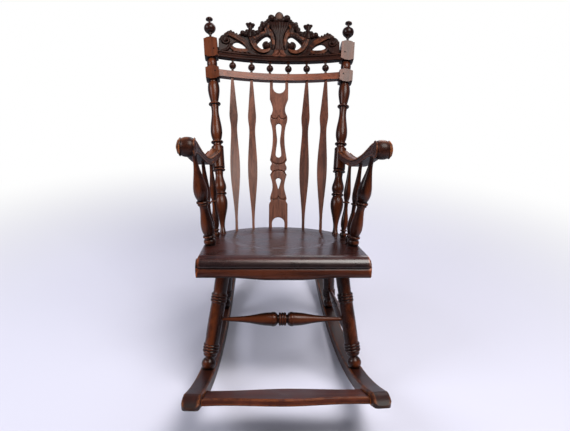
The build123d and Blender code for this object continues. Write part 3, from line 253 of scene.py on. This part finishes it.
def wood(name, *, grain, dark, light, worn, figure, patches, edge_wear, gloss, edge_reach=0.007,
         edge_from=0.66, rub_and_lighting=0.0, rub_and_lighting_from=UP, rub_and_lighting_even=0.0, rub_and_lighting_to=None, spots=(), corner_shade=0.7, bump=0.14,
         specular=0.28, coat=0.12):
    """Stained and varnished wood.

    dark, light: colours of the stain. figure is how far the streaks along the grain turn it light,
        and patches how far the clouds in it do.
    worn, edge_wear: colour and amount of wear on the edges. It starts where the openness inside the
        wood, within edge_reach, falls to edge_from.
    rub_and_lighting: how far the side that faces rub_and_lighting_from turns to rub_and_lighting_to,
    or else to worn: real wear on the arms and rockers, a painted lit side on the turned pieces,
    and darker front faces on the seat. rub_and_lighting_even is how evenly.
    spots: (place, radius, colour) of places with another colour.
    corner_shade: painted shade in the corners.
    gloss: roughness of the smoothest places. bump, specular, coat: relief of the fibres and shine.
    """
    material, n = new_material(name)
    place = n.add("TexCoord").outputs["Object"]
    facing = n.add("NewGeometry").outputs["Normal"]
    turn = Vector(UP).rotation_difference(Vector(grain).normalized()).to_euler()
    along = n.add("Mapping", {"Vector": place, "Rotation": tuple(turn), "Scale": (1, 1, DRAWN_OUT)},
                  vector_type="TEXTURE").outputs[0]
    fibres = n.noise(along, *FIBRES)
    clouds = n.noise(place, *CLOUDS)

    streaks = n.shared(fibres, n.noise(along, *STREAKS), FIBRE_SHARE)
    lightness = n.ramp(streaks, STREAK_SPAN, 0.0, figure)
    lightness = n.math("ADD", lightness, n.ramp(clouds, PATCH_SPAN, 0.0, patches))
    colour = n.blend(lightness, rgb(dark), rgb(light))

    edge = n.ramp(n.openness(edge_reach, inside=True), (edge_from, edge_from - EDGE_FALL))
    chipped = n.ramp(n.noise(place, *CHIPS), CHIP_SPAN)
    wear = n.math("MULTIPLY", n.math("MULTIPLY", edge, chipped), edge_wear)
    colour = n.blend(wear, colour, rgb(worn))
    # The side that faces one way turns to another colour: real wear on the arms and rockers, and a painted
    # lit side on the turned pieces.
    if rub_and_lighting:
        towards = tuple(Vector(rub_and_lighting_from).normalized())
        faced = n.add("VectorMath", {0: facing, 1: towards}, operation="DOT_PRODUCT").outputs["Value"]
        uneven = n.ramp(n.noise(along, *UNEVENNESS), UNEVEN_SPAN, rub_and_lighting_even)
        rub_and_lighting_mask = n.math("MULTIPLY", n.ramp(faced, FACING_SPAN), uneven)
        colour = n.blend(n.math("MULTIPLY", rub_and_lighting_mask, rub_and_lighting), colour, rgb(rub_and_lighting_to or worn))
    for centre, radius, shade in spots:
        away = n.add("VectorMath", {0: place, 1: centre}, operation="DISTANCE").outputs["Value"]
        cover = n.ramp(away, (radius, SPOT_CORE * radius), 0.0, SPOT_COVER)
        colour = n.blend(cover, colour, rgb(shade))

    # Painted shade: darker in the corners, in the creases and on the faces that look down.
    painted_shade = n.ramp(n.openness(CORNER_REACH), CORNER_SPAN, 0.0, corner_shade)
    painted_shade = n.math("MAXIMUM", painted_shade, n.ramp(n.openness(CREASE_REACH), CREASE_SPAN, 0.0, CREASE_SHADE))
    upward = n.add("SeparateXYZ", {"Vector": facing}).outputs["Z"]
    painted_shade = n.math("MAXIMUM", painted_shade, n.ramp(upward, UNDERSIDE_SPAN, 0.0, UNDERSIDE_SHADE))
    colour = n.blend(painted_shade, colour, rgb([SHADE_COLOUR * c for c in dark]))

    relief = n.add("Bump", {"Height": fibres, "Strength": bump, "Distance": BUMP_DEPTH})
    rough = n.ramp(n.shared(fibres, clouds, FIBRE_GLOSS_SHARE), ROUGH_SPAN, gloss, gloss + GLOSS_RANGE)
    rough = n.math("ADD", rough, n.math("MULTIPLY", painted_shade, SHADE_DULLS))
    shader = n.add("BsdfPrincipled", {
        "Base Color": colour, "Roughness": rough, "Normal": relief.outputs[0],
        "Specular IOR Level": specular, "Coat Weight": coat, "Coat Roughness": COAT_ROUGHNESS})
    n.add("OutputMaterial", {"Surface": shader.outputs[0]})
    return material


# Turned wood: the side facing the given direction is painted lighter and more orange, a painted lit side.
TURNED = dict(dark=(0.005, 0.0015, 0.0012), light=(0.045, 0.010, 0.004), worn=(0.24, 0.055, 0.015),
              figure=0.35, patches=0.4, edge_wear=0.5, rub_and_lighting=0.42, rub_and_lighting_even=0.12, gloss=0.2, specular=0.2,
              coat=0.07)
PIN = dict(TURNED, light=(0.01, 0.003, 0.002), edge_wear=0.0, rub_and_lighting=0.0, gloss=0.6, specular=0.05)
SAWN = dict(dark=(0.055, 0.017, 0.010), light=(0.20, 0.070, 0.040), worn=(0.28, 0.11, 0.055),
            figure=1.0, patches=0.2, edge_wear=0.25, gloss=0.34)
# The slats are all one wood. Those on the sitter's left are painted darker, and the outer one on the right a
# little darker and less shiny, as painted shade.
SHADED_LEFT_SLAT = dict(SAWN, dark=(0.032, 0.009, 0.005), light=(0.125, 0.036, 0.018))
SHADED_OUTER_RIGHT_SLAT = dict(SAWN, dark=(0.050, 0.015, 0.009), light=(0.18, 0.060, 0.034), specular=0.18)
RAIL = dict(SAWN, dark=(0.075, 0.018, 0.008), light=(0.22, 0.055, 0.020))
# Carved wood, with deep painted shade in the corners of its carving.
CARVED = dict(dark=(0.008, 0.0027, 0.002), light=(0.042, 0.012, 0.0066), worn=(0.18, 0.055, 0.024),
              figure=0.5, patches=0.4, edge_wear=0.6, gloss=0.36, corner_shade=0.95, specular=0.1, coat=0.03)
ARM = dict(dark=(0.010, 0.003, 0.0022), light=(0.085, 0.020, 0.007), worn=(0.42, 0.125, 0.030),
           figure=0.5, patches=0.4, edge_wear=0.9, edge_from=0.74, rub_and_lighting=0.5, gloss=0.3, bump=0.05,
           specular=0.16, coat=0.06)
PLANK = dict(dark=(0.006, 0.002, 0.002), light=(0.050, 0.010, 0.007), worn=(0.34, 0.08, 0.018),
             figure=0.8, patches=0.35, edge_wear=0.9, edge_reach=0.010, edge_from=0.82, gloss=0.2, bump=0.07,
             specular=0.5)
# The seat's front-facing faces are turned darker.
SEAT = dict(PLANK, rub_and_lighting=0.9, rub_and_lighting_from=(0, -1, 0), rub_and_lighting_even=0.8, rub_and_lighting_to=(0.008, 0.0045, 0.0045))
UNDER_BOARD = dict(PLANK, light=(0.032, 0.006, 0.004), rub_and_lighting=0.2, rub_and_lighting_from=(0, -1, 0.1), specular=0.2)
ROCKER = dict(dark=(0.006, 0.002, 0.0018), light=(0.038, 0.009, 0.005), worn=(0.42, 0.12, 0.028),
              figure=0.7, patches=0.4, edge_wear=1.0, edge_reach=0.011, edge_from=0.86, rub_and_lighting=0.35, gloss=0.34,
              specular=0.14, coat=0.04)
FOOT_BOARD = dict(ROCKER, dark=(0.020, 0.006, 0.005), light=(0.10, 0.024, 0.014), edge_wear=0.9, rub_and_lighting=0.0)

# spots in metres, on the left or in the middle: pale leaves at the foot of the crest's trunk, the pale
# stone at its top, and the dark front ends of the rockers
CREST_LEAF = ((0.014, 0.465, 0.974), 0.019, (0.12, 0.040, 0.023))
CREST_STONE = ((0, 0.547, 1.109), 0.016, (0.12, 0.065, 0.048))
ROCKER_NOSE = ((0.241, -0.578, 0.165), 0.042, (0.016, 0.010, 0.0095))


def side_of(name):
    """1 for a piece on the sitter's left, where +X is, and -1 for one on the right."""
    return 1 if name.endswith("left") else -1


def on_side(spot, side):
    """The spot as it is for 1, the left, and mirrored for -1, the right."""
    (x, y, z), radius, colour = spot
    return (side * x, y, z), radius, colour


def finish_for(name):
    """The look of a CAD node's wood, and its grain, which runs along the piece."""
    side = side_of(name)
    # On the turned pieces the rubbed side points to the front, where the light comes from: it is a painted
    # lit side.
    if name.startswith("back_post"):
        return dict(TURNED, rub_and_lighting=0.4, rub_and_lighting_from=-BEHIND, specular=0.18), (0.095 * side, 0.47, 0.87)
    if name == "joint_pins":
        return PIN, UP_THE_BACK
    if name.startswith(("ball_spindle", "finial")):
        return dict(TURNED, rub_and_lighting=0.0), UP_THE_BACK
    if "leg" in name:
        forward = -0.16 if "front" in name else 0.25
        return dict(TURNED, rub_and_lighting_from=(0.35 * side, -0.7, 0.25)), (0.12 * side, forward, 1)
    if "arm_spindle" in name:
        return dict(TURNED, rub_and_lighting_from=(0.5 * side, -0.7, 0.3)), (0, -0.1, 1)
    if "side_stretcher" in name:
        return dict(TURNED, rub_and_lighting_from=(side, -0.2, 0.8)), Y
    if "stretcher" in name:
        return dict(TURNED, rub_and_lighting=0.32, rub_and_lighting_from=(0, -0.8, 0.5)), X
    if name == "crest_rail":
        return dict(CARVED, spots=[on_side(CREST_LEAF, 1), on_side(CREST_LEAF, -1), CREST_STONE]), X
    # Painted shade: darker copies of the sawn wood for the slats on the left and the outer slat on the right.
    if "slat" in name and side > 0:
        return SHADED_LEFT_SLAT, UP_THE_BACK
    if "outer_slat" in name:
        return SHADED_OUTER_RIGHT_SLAT, UP_THE_BACK
    if "slat" in name or name == "back_splat":
        return SAWN, UP_THE_BACK
    if name == "lower_back_rail":
        return RAIL, X
    if name.startswith("arm_"):
        return dict(ARM, rub_and_lighting_from=(0.35 * side, 0.25, 0.9)), (0, -0.96, 0.27)
    if name.startswith("rocker"):
        return dict(ROCKER, rub_and_lighting_from=(side, 0, 0.25), spots=[on_side(ROCKER_NOSE, side)]), Y
    if name == "foot_board":
        return FOOT_BOARD, X
    if name == "seat":
        return SEAT, X
    if name == "front_under_board":
        return UNDER_BOARD, X
    return TURNED, UP


for name, node in nodes.items():
    look, grain = finish_for(name)
    made = wood("wood_" + name, grain=grain, **look)
    for held in node.material_slots:
        held.material = made


# ------------------------------------------------------------------ copies of the nodes, reworked
def vertices_of(data):
    """The places of a mesh's vertices, one to a row."""
    flat = np.empty(len(data.vertices) * 3, np.float32)
    data.vertices.foreach_get("co", flat)
    return flat.reshape(-1, 3).astype(float)


def set_vertices(data, places):
    data.vertices.foreach_set("co", places.astype(np.float32).ravel())


def sawn(name):
    """A copy of a CAD node's mesh, and the places of its vertices in millimetres."""
    data = nodes[name].data.copy()
    return data, vertices_of(data) * 1000


def skin(name, mesh, to_place, voxel, smoothing):
    """One merged skin over a mesh in millimetres, smoothed, and put in its place by to_place."""
    data = bpy.data.meshes.new(name)
    mesh.to_mesh(data)
    mesh.free()
    piece = bpy.data.objects.new(name, data)
    scene.collection.objects.link(piece)
    remesh = piece.modifiers.new("remesh", "REMESH")
    remesh.mode = "VOXEL"
    remesh.voxel_size = voxel
    relax = piece.modifiers.new("relax", "SMOOTH")
    relax.factor = 0.5
    relax.iterations = smoothing
    graph = bpy.context.evaluated_depsgraph_get()
    made = bpy.data.meshes.new_from_object(piece.evaluated_get(graph))
    piece.modifiers.clear()
    piece.data = made
    set_vertices(made, to_place(vertices_of(made)))
    made.polygons.foreach_set("use_smooth", [True] * len(made.polygons))
    made.update()
    return piece


def stand_in(piece, node):
    """The piece is part of the chair's one body, and is seen instead of the node."""
    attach(piece, "root")
    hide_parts(node)


# ------------------------------------------------------------------ carving
RIBS, RIB_FLATNESS = 3, 0.7                  # of a leaf
RIB_WIDTH, RIB_DROP = 1.15, 0.12             # of its half width
SCROLL_POINTS, SCROLL_BEND = 14, 0.85        # points per turn, and how its turns are spaced
SCROLL_CLIMB, SCROLL_THINS = 2.5, 0.35       # millimetres, and the share of its radius that it loses
EYE_UP, EYE_SIZE = 2, 0.95


def between(p, q, r, s, t):
    """A smooth curve from q to r, at t of the way, where p comes before them and s after."""
    return 0.5 * (2 * q + (r - p) * t + (2 * p - 5 * q + 4 * r - s) * t * t
                  + (3 * q - p - 3 * r + s) * t ** 3)


def smooth_line(points, steps=8):
    """Points along a smooth curve through the given points, radius and all."""
    points = [tuple(map(float, p)) for p in points]
    ends = [points[0]] + points + [points[-1]]
    line = []
    for four in zip(ends, ends[1:], ends[2:], ends[3:]):
        for i in range(steps):
            line.append(tuple(between(*values, i / steps) for values in zip(*four)))
    line.append(points[-1])
    return line


def heading(line, i):
    """From the point before number i of a line to the one after it."""
    before, after = line[max(i - 1, 0)], line[min(i + 1, len(line) - 1)]
    return Vector([b - a for a, b in zip(before[:3], after[:3])])


class Carving:
    """Closed forms in millimetres that run into each other and are then merged into one skin.
    x is across, y up the work and z out towards the viewer."""

    def __init__(self):
        self.mesh = bmesh.new()

    def ball(self, x, y, z, radius, stretch=(1, 1, 1), turn=0.0):
        turned = Matrix.Rotation(turn, 4, "Z")
        place = Matrix.Translation((x, y, z)) @ turned @ Matrix.Diagonal((*stretch, 1))
        bmesh.ops.create_icosphere(self.mesh, subdivisions=3, radius=radius, matrix=place)

    def balls(self, z, stretch, rows, turn=0.0):
        """Balls at (x, y, radius), alike but for their size."""
        for x, y, radius in rows:
            self.ball(x, y, z, radius, stretch, turn)

    def rod(self, points, flat=1.0, around=12):
        """Tapering rod along (x, y, z, radius) points; flat scales its depth."""
        line = smooth_line(points)
        rings = []
        for i, (x, y, z, radius) in enumerate(line):
            along = heading(line, i)
            across = along.cross(Vector(UP))
            across = across.normalized() if across.length > 1e-6 else Vector(X)
            out = across.cross(along).normalized() * flat
            centre = Vector((x, y, z))
            rings.append([self.mesh.verts.new(centre + radius * (cos(a) * across + sin(a) * out))
                          for a in (2 * pi * k / around for k in range(around))])
        for low, high in zip(rings, rings[1:]):
            for k in range(around):
                self.mesh.faces.new((low[k], low[(k + 1) % around], high[(k + 1) % around], high[k]))
        self.mesh.faces.new(rings[0][::-1])
        self.mesh.faces.new(rings[-1])

    def leaf(self, points):
        """Fluted band: ribs side by side along (x, y, z, half width) points."""
        line = smooth_line(points, 4)
        for rib in range(RIBS):
            offset = (rib - (RIBS - 1) / 2) / (RIBS / 2)
            shifted = []
            for i, (x, y, z, half) in enumerate(line):
                along = heading(line, i).xy.normalized()
                shifted.append((x + along.y * offset * half, y - along.x * offset * half,
                                z - RIB_DROP * half * abs(offset), RIB_WIDTH * half / RIBS))
            self.rod(shifted, RIB_FLATNESS, around=10)

    def scroll(self, x, y, z, outer, inner, start, turns, radius):
        """Spiral rod, clockwise from its outer end inwards, with a ball at its eye."""
        points = []
        count = int(SCROLL_POINTS * turns)
        for i in range(count + 1):
            t = i / count
            reach = outer + (inner - outer) * t ** SCROLL_BEND
            angle = start - 2 * pi * turns * t
            points.append((x + reach * cos(angle), y + reach * sin(angle), z + SCROLL_CLIMB * t,
                           radius * (1 - SCROLL_THINS * t)))
        self.rod(points)
        self.ball(x, y, z + EYE_UP, inner * EYE_SIZE)

    def mirrored(self):
        """A second copy of everything so far, on the other side."""
        copies = bmesh.ops.duplicate(self.mesh, geom=self.mesh.verts[:] + self.mesh.faces[:])["geom"]
        for vertex in (g for g in copies if isinstance(g, bmesh.types.BMVert)):
            vertex.co.x = -vertex.co.x
        bmesh.ops.reverse_faces(self.mesh, faces=[g for g in copies if isinstance(g, bmesh.types.BMFace)])


CREST_HALF = 236
CREST_BEADS = ((3.5, 12, 5.2), (24, 9, 3.6))     # height, distance out and radius of each along its foot
GROUND_FROM, GROUND_DEPTH = 26.5, 11             # above the beads the front of the board is sunk


def crest_side(work):
    """The left half of the crest's carving, but for what lies on its middle."""
    # end scroll, and the two leaf bands that leave it above and below the outer opening
    work.scroll(207, 77, 3, 19, 5.5, 1.9, 1.5, 4.6)
    work.leaf([(213, 97, 3, 6), (196, 103, 6, 9), (176, 98, 8, 10), (156, 88, 8, 10), (138, 78, 7, 9),
               (124, 62, 5, 8), (114, 44, 3, 6), (104, 30, 2, 4)])
    work.leaf([(190, 64, 3, 5), (184, 50, 5, 6.5), (168, 41, 6, 7.5), (146, 40, 6, 8), (124, 42, 5, 7),
               (106, 36, 4, 6), (88, 31, 2, 4)])
    work.balls(3, (0.8, 1.1, 0.8), turn=0.5, rows=(
        (199, 109, 7), (190, 113, 7.5), (180, 109, 7), (168, 105, 6.5), (155, 103, 7)))
    work.balls(3, (1.1, 0.8, 0.8), ((176, 31, 6), (160, 30, 6), (143, 29, 6.5), (127, 29, 6), (112, 28, 5)))
    work.rod([(222, 30, 2, 4), (206, 36, 3, 5), (196, 47, 3, 5), (192, 60, 3, 4)])
    # inner scroll: from the flower down, along the base and up to its ball
    work.leaf([(112, 106, 5, 9), (108, 92, 8, 10), (101, 74, 9, 10), (90, 56, 9, 9), (74, 45, 9, 8),
               (58, 43, 9, 7), (45, 48, 8, 6), (37, 58, 7, 4.5)])
    work.ball(47, 68, 6, 13)
    work.rod([(60, 60, 3, 4), (63, 72, 3, 4), (56, 82, 4, 4), (45, 84, 4, 3.5)])
    # leaves that hang over the inner opening
    work.leaf([(104, 88, 4, 4), (95, 98, 6, 6.5), (80, 108, 7, 8), (62, 117, 8, 8), (46, 120, 7, 7),
               (34, 116, 6, 5)])
    work.balls(5, (1, 1, 0.9), (
        (92, 86, 6), (84, 94, 6), (76, 101, 6.5), (66, 107, 6.5), (55, 112, 6), (46, 113, 5.5)))
    # flower and the balls beside it
    work.rod([(114, 98, 5, 9), (114, 114, 6, 9), (114, 130, 5, 7.5), (114, 148, 4, 9)])
    work.balls(4, (1, 0.8, 1), (
        (103, 153, 7.5), (114, 157, 7), (125, 153, 7.5), (109, 147, 6), (120, 147, 6)))
    work.balls(4, (1, 1, 0.9), (
        (143, 114, 10.5), (131, 110, 10), (126, 122, 9), (101, 122, 9.5), (97, 112, 9), (86, 120, 11),
        (76, 130, 9.5)))
    # balls and a leaf that climb the side of the middle
    work.balls(4, (1, 1, 0.9), (
        (63, 152, 14), (74, 139, 10.5), (53, 164, 9.5), (44, 174, 9), (31, 187, 14), (67, 164, 7.5)))
    work.leaf([(38, 110, 5, 6), (46, 126, 8, 9), (50, 142, 8, 9), (44, 158, 6, 7), (36, 172, 5, 6)])
    # fluted trunk, drawn in to a waist, with a leaf beside it and another at its foot
    for foot, waist, head in ((4, 3.2, 12), (10, 6.8, 23), (17, 10.5, 34)):
        work.rod([(foot, 42, 5, 4.5), (waist * 1.2, 66, 8, 4.2), (waist, 90, 9, 3.8),
                  (waist * 1.4, 116, 9, 5), (head * 0.78, 142, 8, 6.5), (head, 168, 4, 7)])
    work.leaf([(25, 56, 2, 4), (22, 78, 5, 6), (25, 102, 6, 7), (34, 124, 6, 8), (46, 140, 5, 7)])
    work.rod([(2, 50, 6, 5), (9, 40, 9, 6.5), (18, 31, 9, 7), (28, 24, 6, 4.5)])
    work.ball(11, 58, 7, 5)
    work.ball(13, 181, 4, 10, (1, 1.2, 0.8))


def crest_middle(work):
    """The trunk's middle flute, the stone in its band, and the beads along the foot."""
    work.rod([(0, 34, 5, 5), (0, 60, 7, 4), (0, 90, 8, 3.6), (0, 130, 8, 6.5), (0, 168, 5, 9)])
    work.ball(0, 47, 11, 6.5)
    work.ball(0, 27, 6, 8, (1.3, 0.8, 0.8))
    work.ball(0, 192, 6, 12.5, (1, 1.55, 0.8))
    for side in (-1, 1):
        work.rod([(side * 3, 172, 6, 2.6), (side * 13, 180, 6, 2.8), (side * 15, 194, 6, 2.8),
                  (side * 9, 207, 6, 2.6), (0, 212, 6, 2.4)])
    for up, out, radius in CREST_BEADS:
        work.rod([(x, up, out, radius) for x in (-CREST_HALF, 0, CREST_HALF)])


def carved_crest():
    """Pierced crest: the sawn board with its ground sunk, and scrolls, leaves and flowers on it."""
    work = Carving()
    crest_side(work)
    work.mirrored()
    crest_middle(work)
    board, place = sawn("crest_rail")
    place = off_crest(place)
    sunk = (place[:, 1] > GROUND_FROM) & (place[:, 2] > 0)
    place[sunk, 2] -= GROUND_DEPTH
    set_vertices(board, place)
    work.mesh.from_mesh(board)
    piece = skin("crest_carved", work.mesh, on_crest, voxel=1.15, smoothing=3)
    piece.data.materials.append(bpy.data.materials["wood_crest_rail"])
    stand_in(piece, "crest_rail")


# ------------------------------------------------------------------ arms
# Millimetres. The chair leans back a little to balance on its rockers, and its side view turns with it.
SETTLE = radians(0.79)
BACK = np.array((0.0, cos(SETTLE), -sin(SETTLE)))
RISE = np.array((0.0, sin(SETTLE), cos(SETTLE)))
ROLL = np.array((279.0, -163.0, 743.4))
ROLL_RADIUS = 28.5
# each row is a distance behind the roll's centre, and the arm's height, size or place there
ARM_TOP = ((-30, 0), (0, 0), (20, 0.5), (71, -6), (121, -36), (171, -61), (221, -80), (271, -89), (321, -92),
           (400, -92))
ARM_THICK = ((-30, 57), (0, 57), (40, 45), (71, 34), (121, 29), (171, 28), (221, 28), (271, 27), (321, 26),
             (400, 24))
ARM_INWARD = ((-30, 0), (0, 0), (71, 3), (121, 8), (171, 14), (221, 20), (271, 25), (321, 33), (400, 38))
ARM_HALF_WIDTH = ((-30, 22.5), (0, 22.5), (321, 19.5), (400, 19))
# across the top of an arm that is FULL_HALF wide to each side: a crown, a quirk and an edge bead
FULL_HALF = 22.5
CROWN_HALF, CROWN_DROP, CROWN_BEND = 17.5, 4.2, 2.3
QUIRK_AT, QUIRK_WIDTH, QUIRK_DEPTH = 17.8, 1.2, 1.5
BEAD_SPAN, BEAD_DROP = (17.6, 19.4), 1.6
ROUNDED_FROM, ROUNDED_OVER, ROUNDED_DROP = 19.6, 3, 2.4
# where the roll ends, the upper part of the arm's thickness, and its side faces
ROLL_SPAN, UPPER_SPAN, FACE_SPAN = (30, 44), (0.45, 0.95), (0.86, 0.97)
# on its sides: a channel below the top edge that curls into the roll, and one above the bottom edge
CHANNEL_DOWN, CHANNEL_WIDTH, CHANNEL_DEPTH = 9.5, 2.1, 2.6
LOWER_UP, LOWER_WIDTH, LOWER_DEPTH = 8.0, 1.8, 1.8
CHANNEL_ENTRY = ((30, 18.0), (20, 19.5))
LOWER_END = ((48, -22), (34, -20), (24, -15))
CURL_FROM, CURL_TURNS, CURL_POINTS = radians(62), 1.45, 45
CURL_OUTER, CURL_INNER, CURL_BEND = 21.0, 6.5, 0.8


def table(rows, at):
    """Value between the rows of a table, eased a little at each."""
    places, values = np.array(rows, float).T
    return sum(np.interp(at + shift, places, values) for shift in (-12, -6, 0, 6, 12)) / 5


def step(value, span):
    """Smooth step from 0 to 1, while the value goes from one end of the span to the other."""
    low, high = span
    t = np.clip((value - low) / (high - low), 0, 1)
    return t * t * (3 - 2 * t)


def near_line(a, h, line):
    """Distance of each point to the nearest segment of a line."""
    best = np.full(len(a), 1e9)
    for (a0, h0), (a1, h1) in zip(line, line[1:]):
        da, dh = a1 - a0, h1 - h0
        t = np.clip(((a - a0) * da + (h - h0) * dh) / (da * da + dh * dh), 0, 1)
        best = np.minimum(best, np.hypot(a - a0 - t * da, h - h0 - t * dh))
    return best


def groove(a, h, line, width, depth):
    """Depth at each point of a groove with soft sides along a line."""
    return depth * np.exp(-(near_line(a, h, line) / width) ** 2)


def arm_channels():
    """Side view of the channel that curls into the roll, and of the lower one."""
    upper = [(a, float(table(ARM_TOP, a)) - CHANNEL_DOWN) for a in range(330, 40, -10)]
    upper += CHANNEL_ENTRY
    for i in range(CURL_POINTS):
        t = i / (CURL_POINTS - 1)
        angle = CURL_FROM + 2 * pi * CURL_TURNS * t
        reach = CURL_OUTER + (CURL_INNER - CURL_OUTER) * t ** CURL_BEND
        upper.append((reach * cos(angle), reach * sin(angle)))
    lower = [(a, float(table(ARM_TOP, a) - table(ARM_THICK, a)) + LOWER_UP) for a in range(330, 60, -10)]
    lower += LOWER_END
    return upper, lower


def arm_crown(t):
    """How far the carved top lies above the sawn one, at t to either side of the arm's middle."""
    on_bead = step(t, BEAD_SPAN)
    crown = -CROWN_DROP * (np.minimum(t, CROWN_HALF) / CROWN_HALF) ** CROWN_BEND
    quirk = -QUIRK_DEPTH * np.exp(-((t - QUIRK_AT) / QUIRK_WIDTH) ** 2)
    rounded = -ROUNDED_DROP * (np.clip(t - ROUNDED_FROM, 0, ROUNDED_OVER) / ROUNDED_OVER) ** 2
    return (1 - on_bead) * crown + quirk + on_bead * (rounded - BEAD_DROP)


def worked_arm(points):
    """The left arm's skin, with its crown, edge beads and channels worked into it, in metres."""
    local = points - ROLL
    a, h = local @ BACK, local @ RISE
    r = np.hypot(a, h)
    across = local[:, 0] + table(ARM_INWARD, a)
    half = table(ARM_HALF_WIDTH, a)
    top, thick = table(ARM_TOP, a), table(ARM_THICK, a)

    crown = arm_crown(np.abs(across) / half * FULL_HALF)
    on_roll = 1 - step(r, ROLL_SPAN)
    on_top = step((h - top + thick) / thick, UPPER_SPAN) * (1 - on_roll)
    raised = crown * on_top
    swelled = crown * on_roll * np.clip(r / ROLL_RADIUS, 0, 1)

    upper, lower = arm_channels()
    depth = (groove(a, h, upper, CHANNEL_WIDTH, CHANNEL_DEPTH)
             + groove(a, h, lower, LOWER_WIDTH, LOWER_DEPTH))
    on_face = step(np.abs(across) / half, FACE_SPAN)

    safe = np.maximum(r, 1e-6)
    moved = points + np.outer(raised + swelled * h / safe, RISE) + np.outer(swelled * a / safe, BACK)
    moved[:, 0] -= np.sign(across) * depth * on_face
    return moved / 1000


def carved_arm(name):
    """The arm, carved over a copy of the sawn shape. The right one is worked as a left one."""
    side = side_of(name)
    mirror = (side, 1, 1)
    work = bmesh.new()
    board, place = sawn(name)
    set_vertices(board, place * mirror)
    work.from_mesh(board)
    if side < 0:
        bmesh.ops.reverse_faces(work, faces=work.faces[:])
    piece = skin(name + "_carved", work, lambda points: worked_arm(points) * mirror, voxel=1.3, smoothing=2)
    if side < 0:
        piece.data.flip_normals()
    piece.data.materials.append(bpy.data.materials["wood_" + name])
    stand_in(piece, name)


# ------------------------------------------------------------------ slats and splat
# Millimetres. Each kind of slat, with its distance from the middle at the line of the feet and at SLAT_TOP.
SLATS = (("outer_slat_", 155.0, 180.0), ("inner_slat_", 94.0, 107.0))
SLAT_TOP = 598.0
CUT_WIDTH, CUT_DEPTH = 1.7, 3.4
SLICE = 6.0


def bowed_slat(name, foot_x, top_x):
    """The slat turned to face along the bow of the rails, as its neighbours in the rail do."""
    data, place = sawn(name)
    up = (place - BACK_FOOT) @ UP_THE_BACK
    middle = side_of(name) * (foot_x + (top_x - foot_x) * up / SLAT_TOP)
    place += np.outer(bow_at(place[:, 0]) - bow_at(middle), BEHIND)
    set_vertices(data, place / 1000)
    data.update()
    piece = bpy.data.objects.new(name + "_bowed", data)
    scene.collection.objects.link(piece)
    for held in piece.material_slots:
        held.material = bpy.data.materials["wood_" + name]
    stand_in(piece, name)


def both_ways(half):
    """A line across the splat, from the half of it that starts at the middle."""
    return tuple((-x, h) for x, h in half[:0:-1]) + half


SCALLOP = both_ways(((0, 6.5), (4, 0), (9, -4), (17, -5.5), (24, -4), (29, 1), (33, 6)))
HOLLOW = both_ways(((0, -1), (15, 2), (24, 9), (30, 19)))
# height up the back of each cut, 1 or -1 for which way up it is, and its line
SPLAT_CUTS = ((461, 1, SCALLOP), (283, 1, HOLLOW), (258, -1, HOLLOW), (149, 1, SCALLOP))


def board_line(up, behind):
    """Heights up the back, and how far behind it the middle of the splat's thickness is at each.
    Each slice also reads half a slice above and below itself."""
    lows = np.arange(up.min(), up.max(), SLICE)
    depths = []
    for low in lows:
        there = behind[(up >= low - 0.5 * SLICE) & (up < low + 1.5 * SLICE)]
        depths.append((there.min() + there.max()) / 2 if len(there) else depths[-1])
    return lows + SLICE / 2, np.array(depths)


def cut_splat(points):
    """The splat's skin, with the lines that are cut across its front, in metres."""
    up = (points - BACK_FOOT) @ UP_THE_BACK
    behind = (points - BACK_FOOT) @ BEHIND
    on_front = behind < np.interp(up, *board_line(up, behind))
    depth = np.zeros(len(points))
    for height, way, line in SPLAT_CUTS:
        placed = [(x, height + way * h) for x, h in line]
        depth += groove(points[:, 0], up, placed, CUT_WIDTH, CUT_DEPTH)
    return (points + np.outer(depth * on_front, BEHIND)) / 1000


def carved_splat():
    """The splat, cut over a copy of the sawn shape."""
    work = bmesh.new()
    board, place = sawn("back_splat")
    set_vertices(board, place)
    work.from_mesh(board)
    piece = skin("splat_carved", work, cut_splat, voxel=1.0, smoothing=2)
    piece.data.materials.append(bpy.data.materials["wood_back_splat"])
    stand_in(piece, "back_splat")


carved_crest()
for side in ("left", "right"):
    carved_arm("arm_" + side)
carved_splat()
for side in ("left", "right"):
    for kind, foot_x, top_x in SLATS:
        bowed_slat(kind + side, foot_x, top_x)
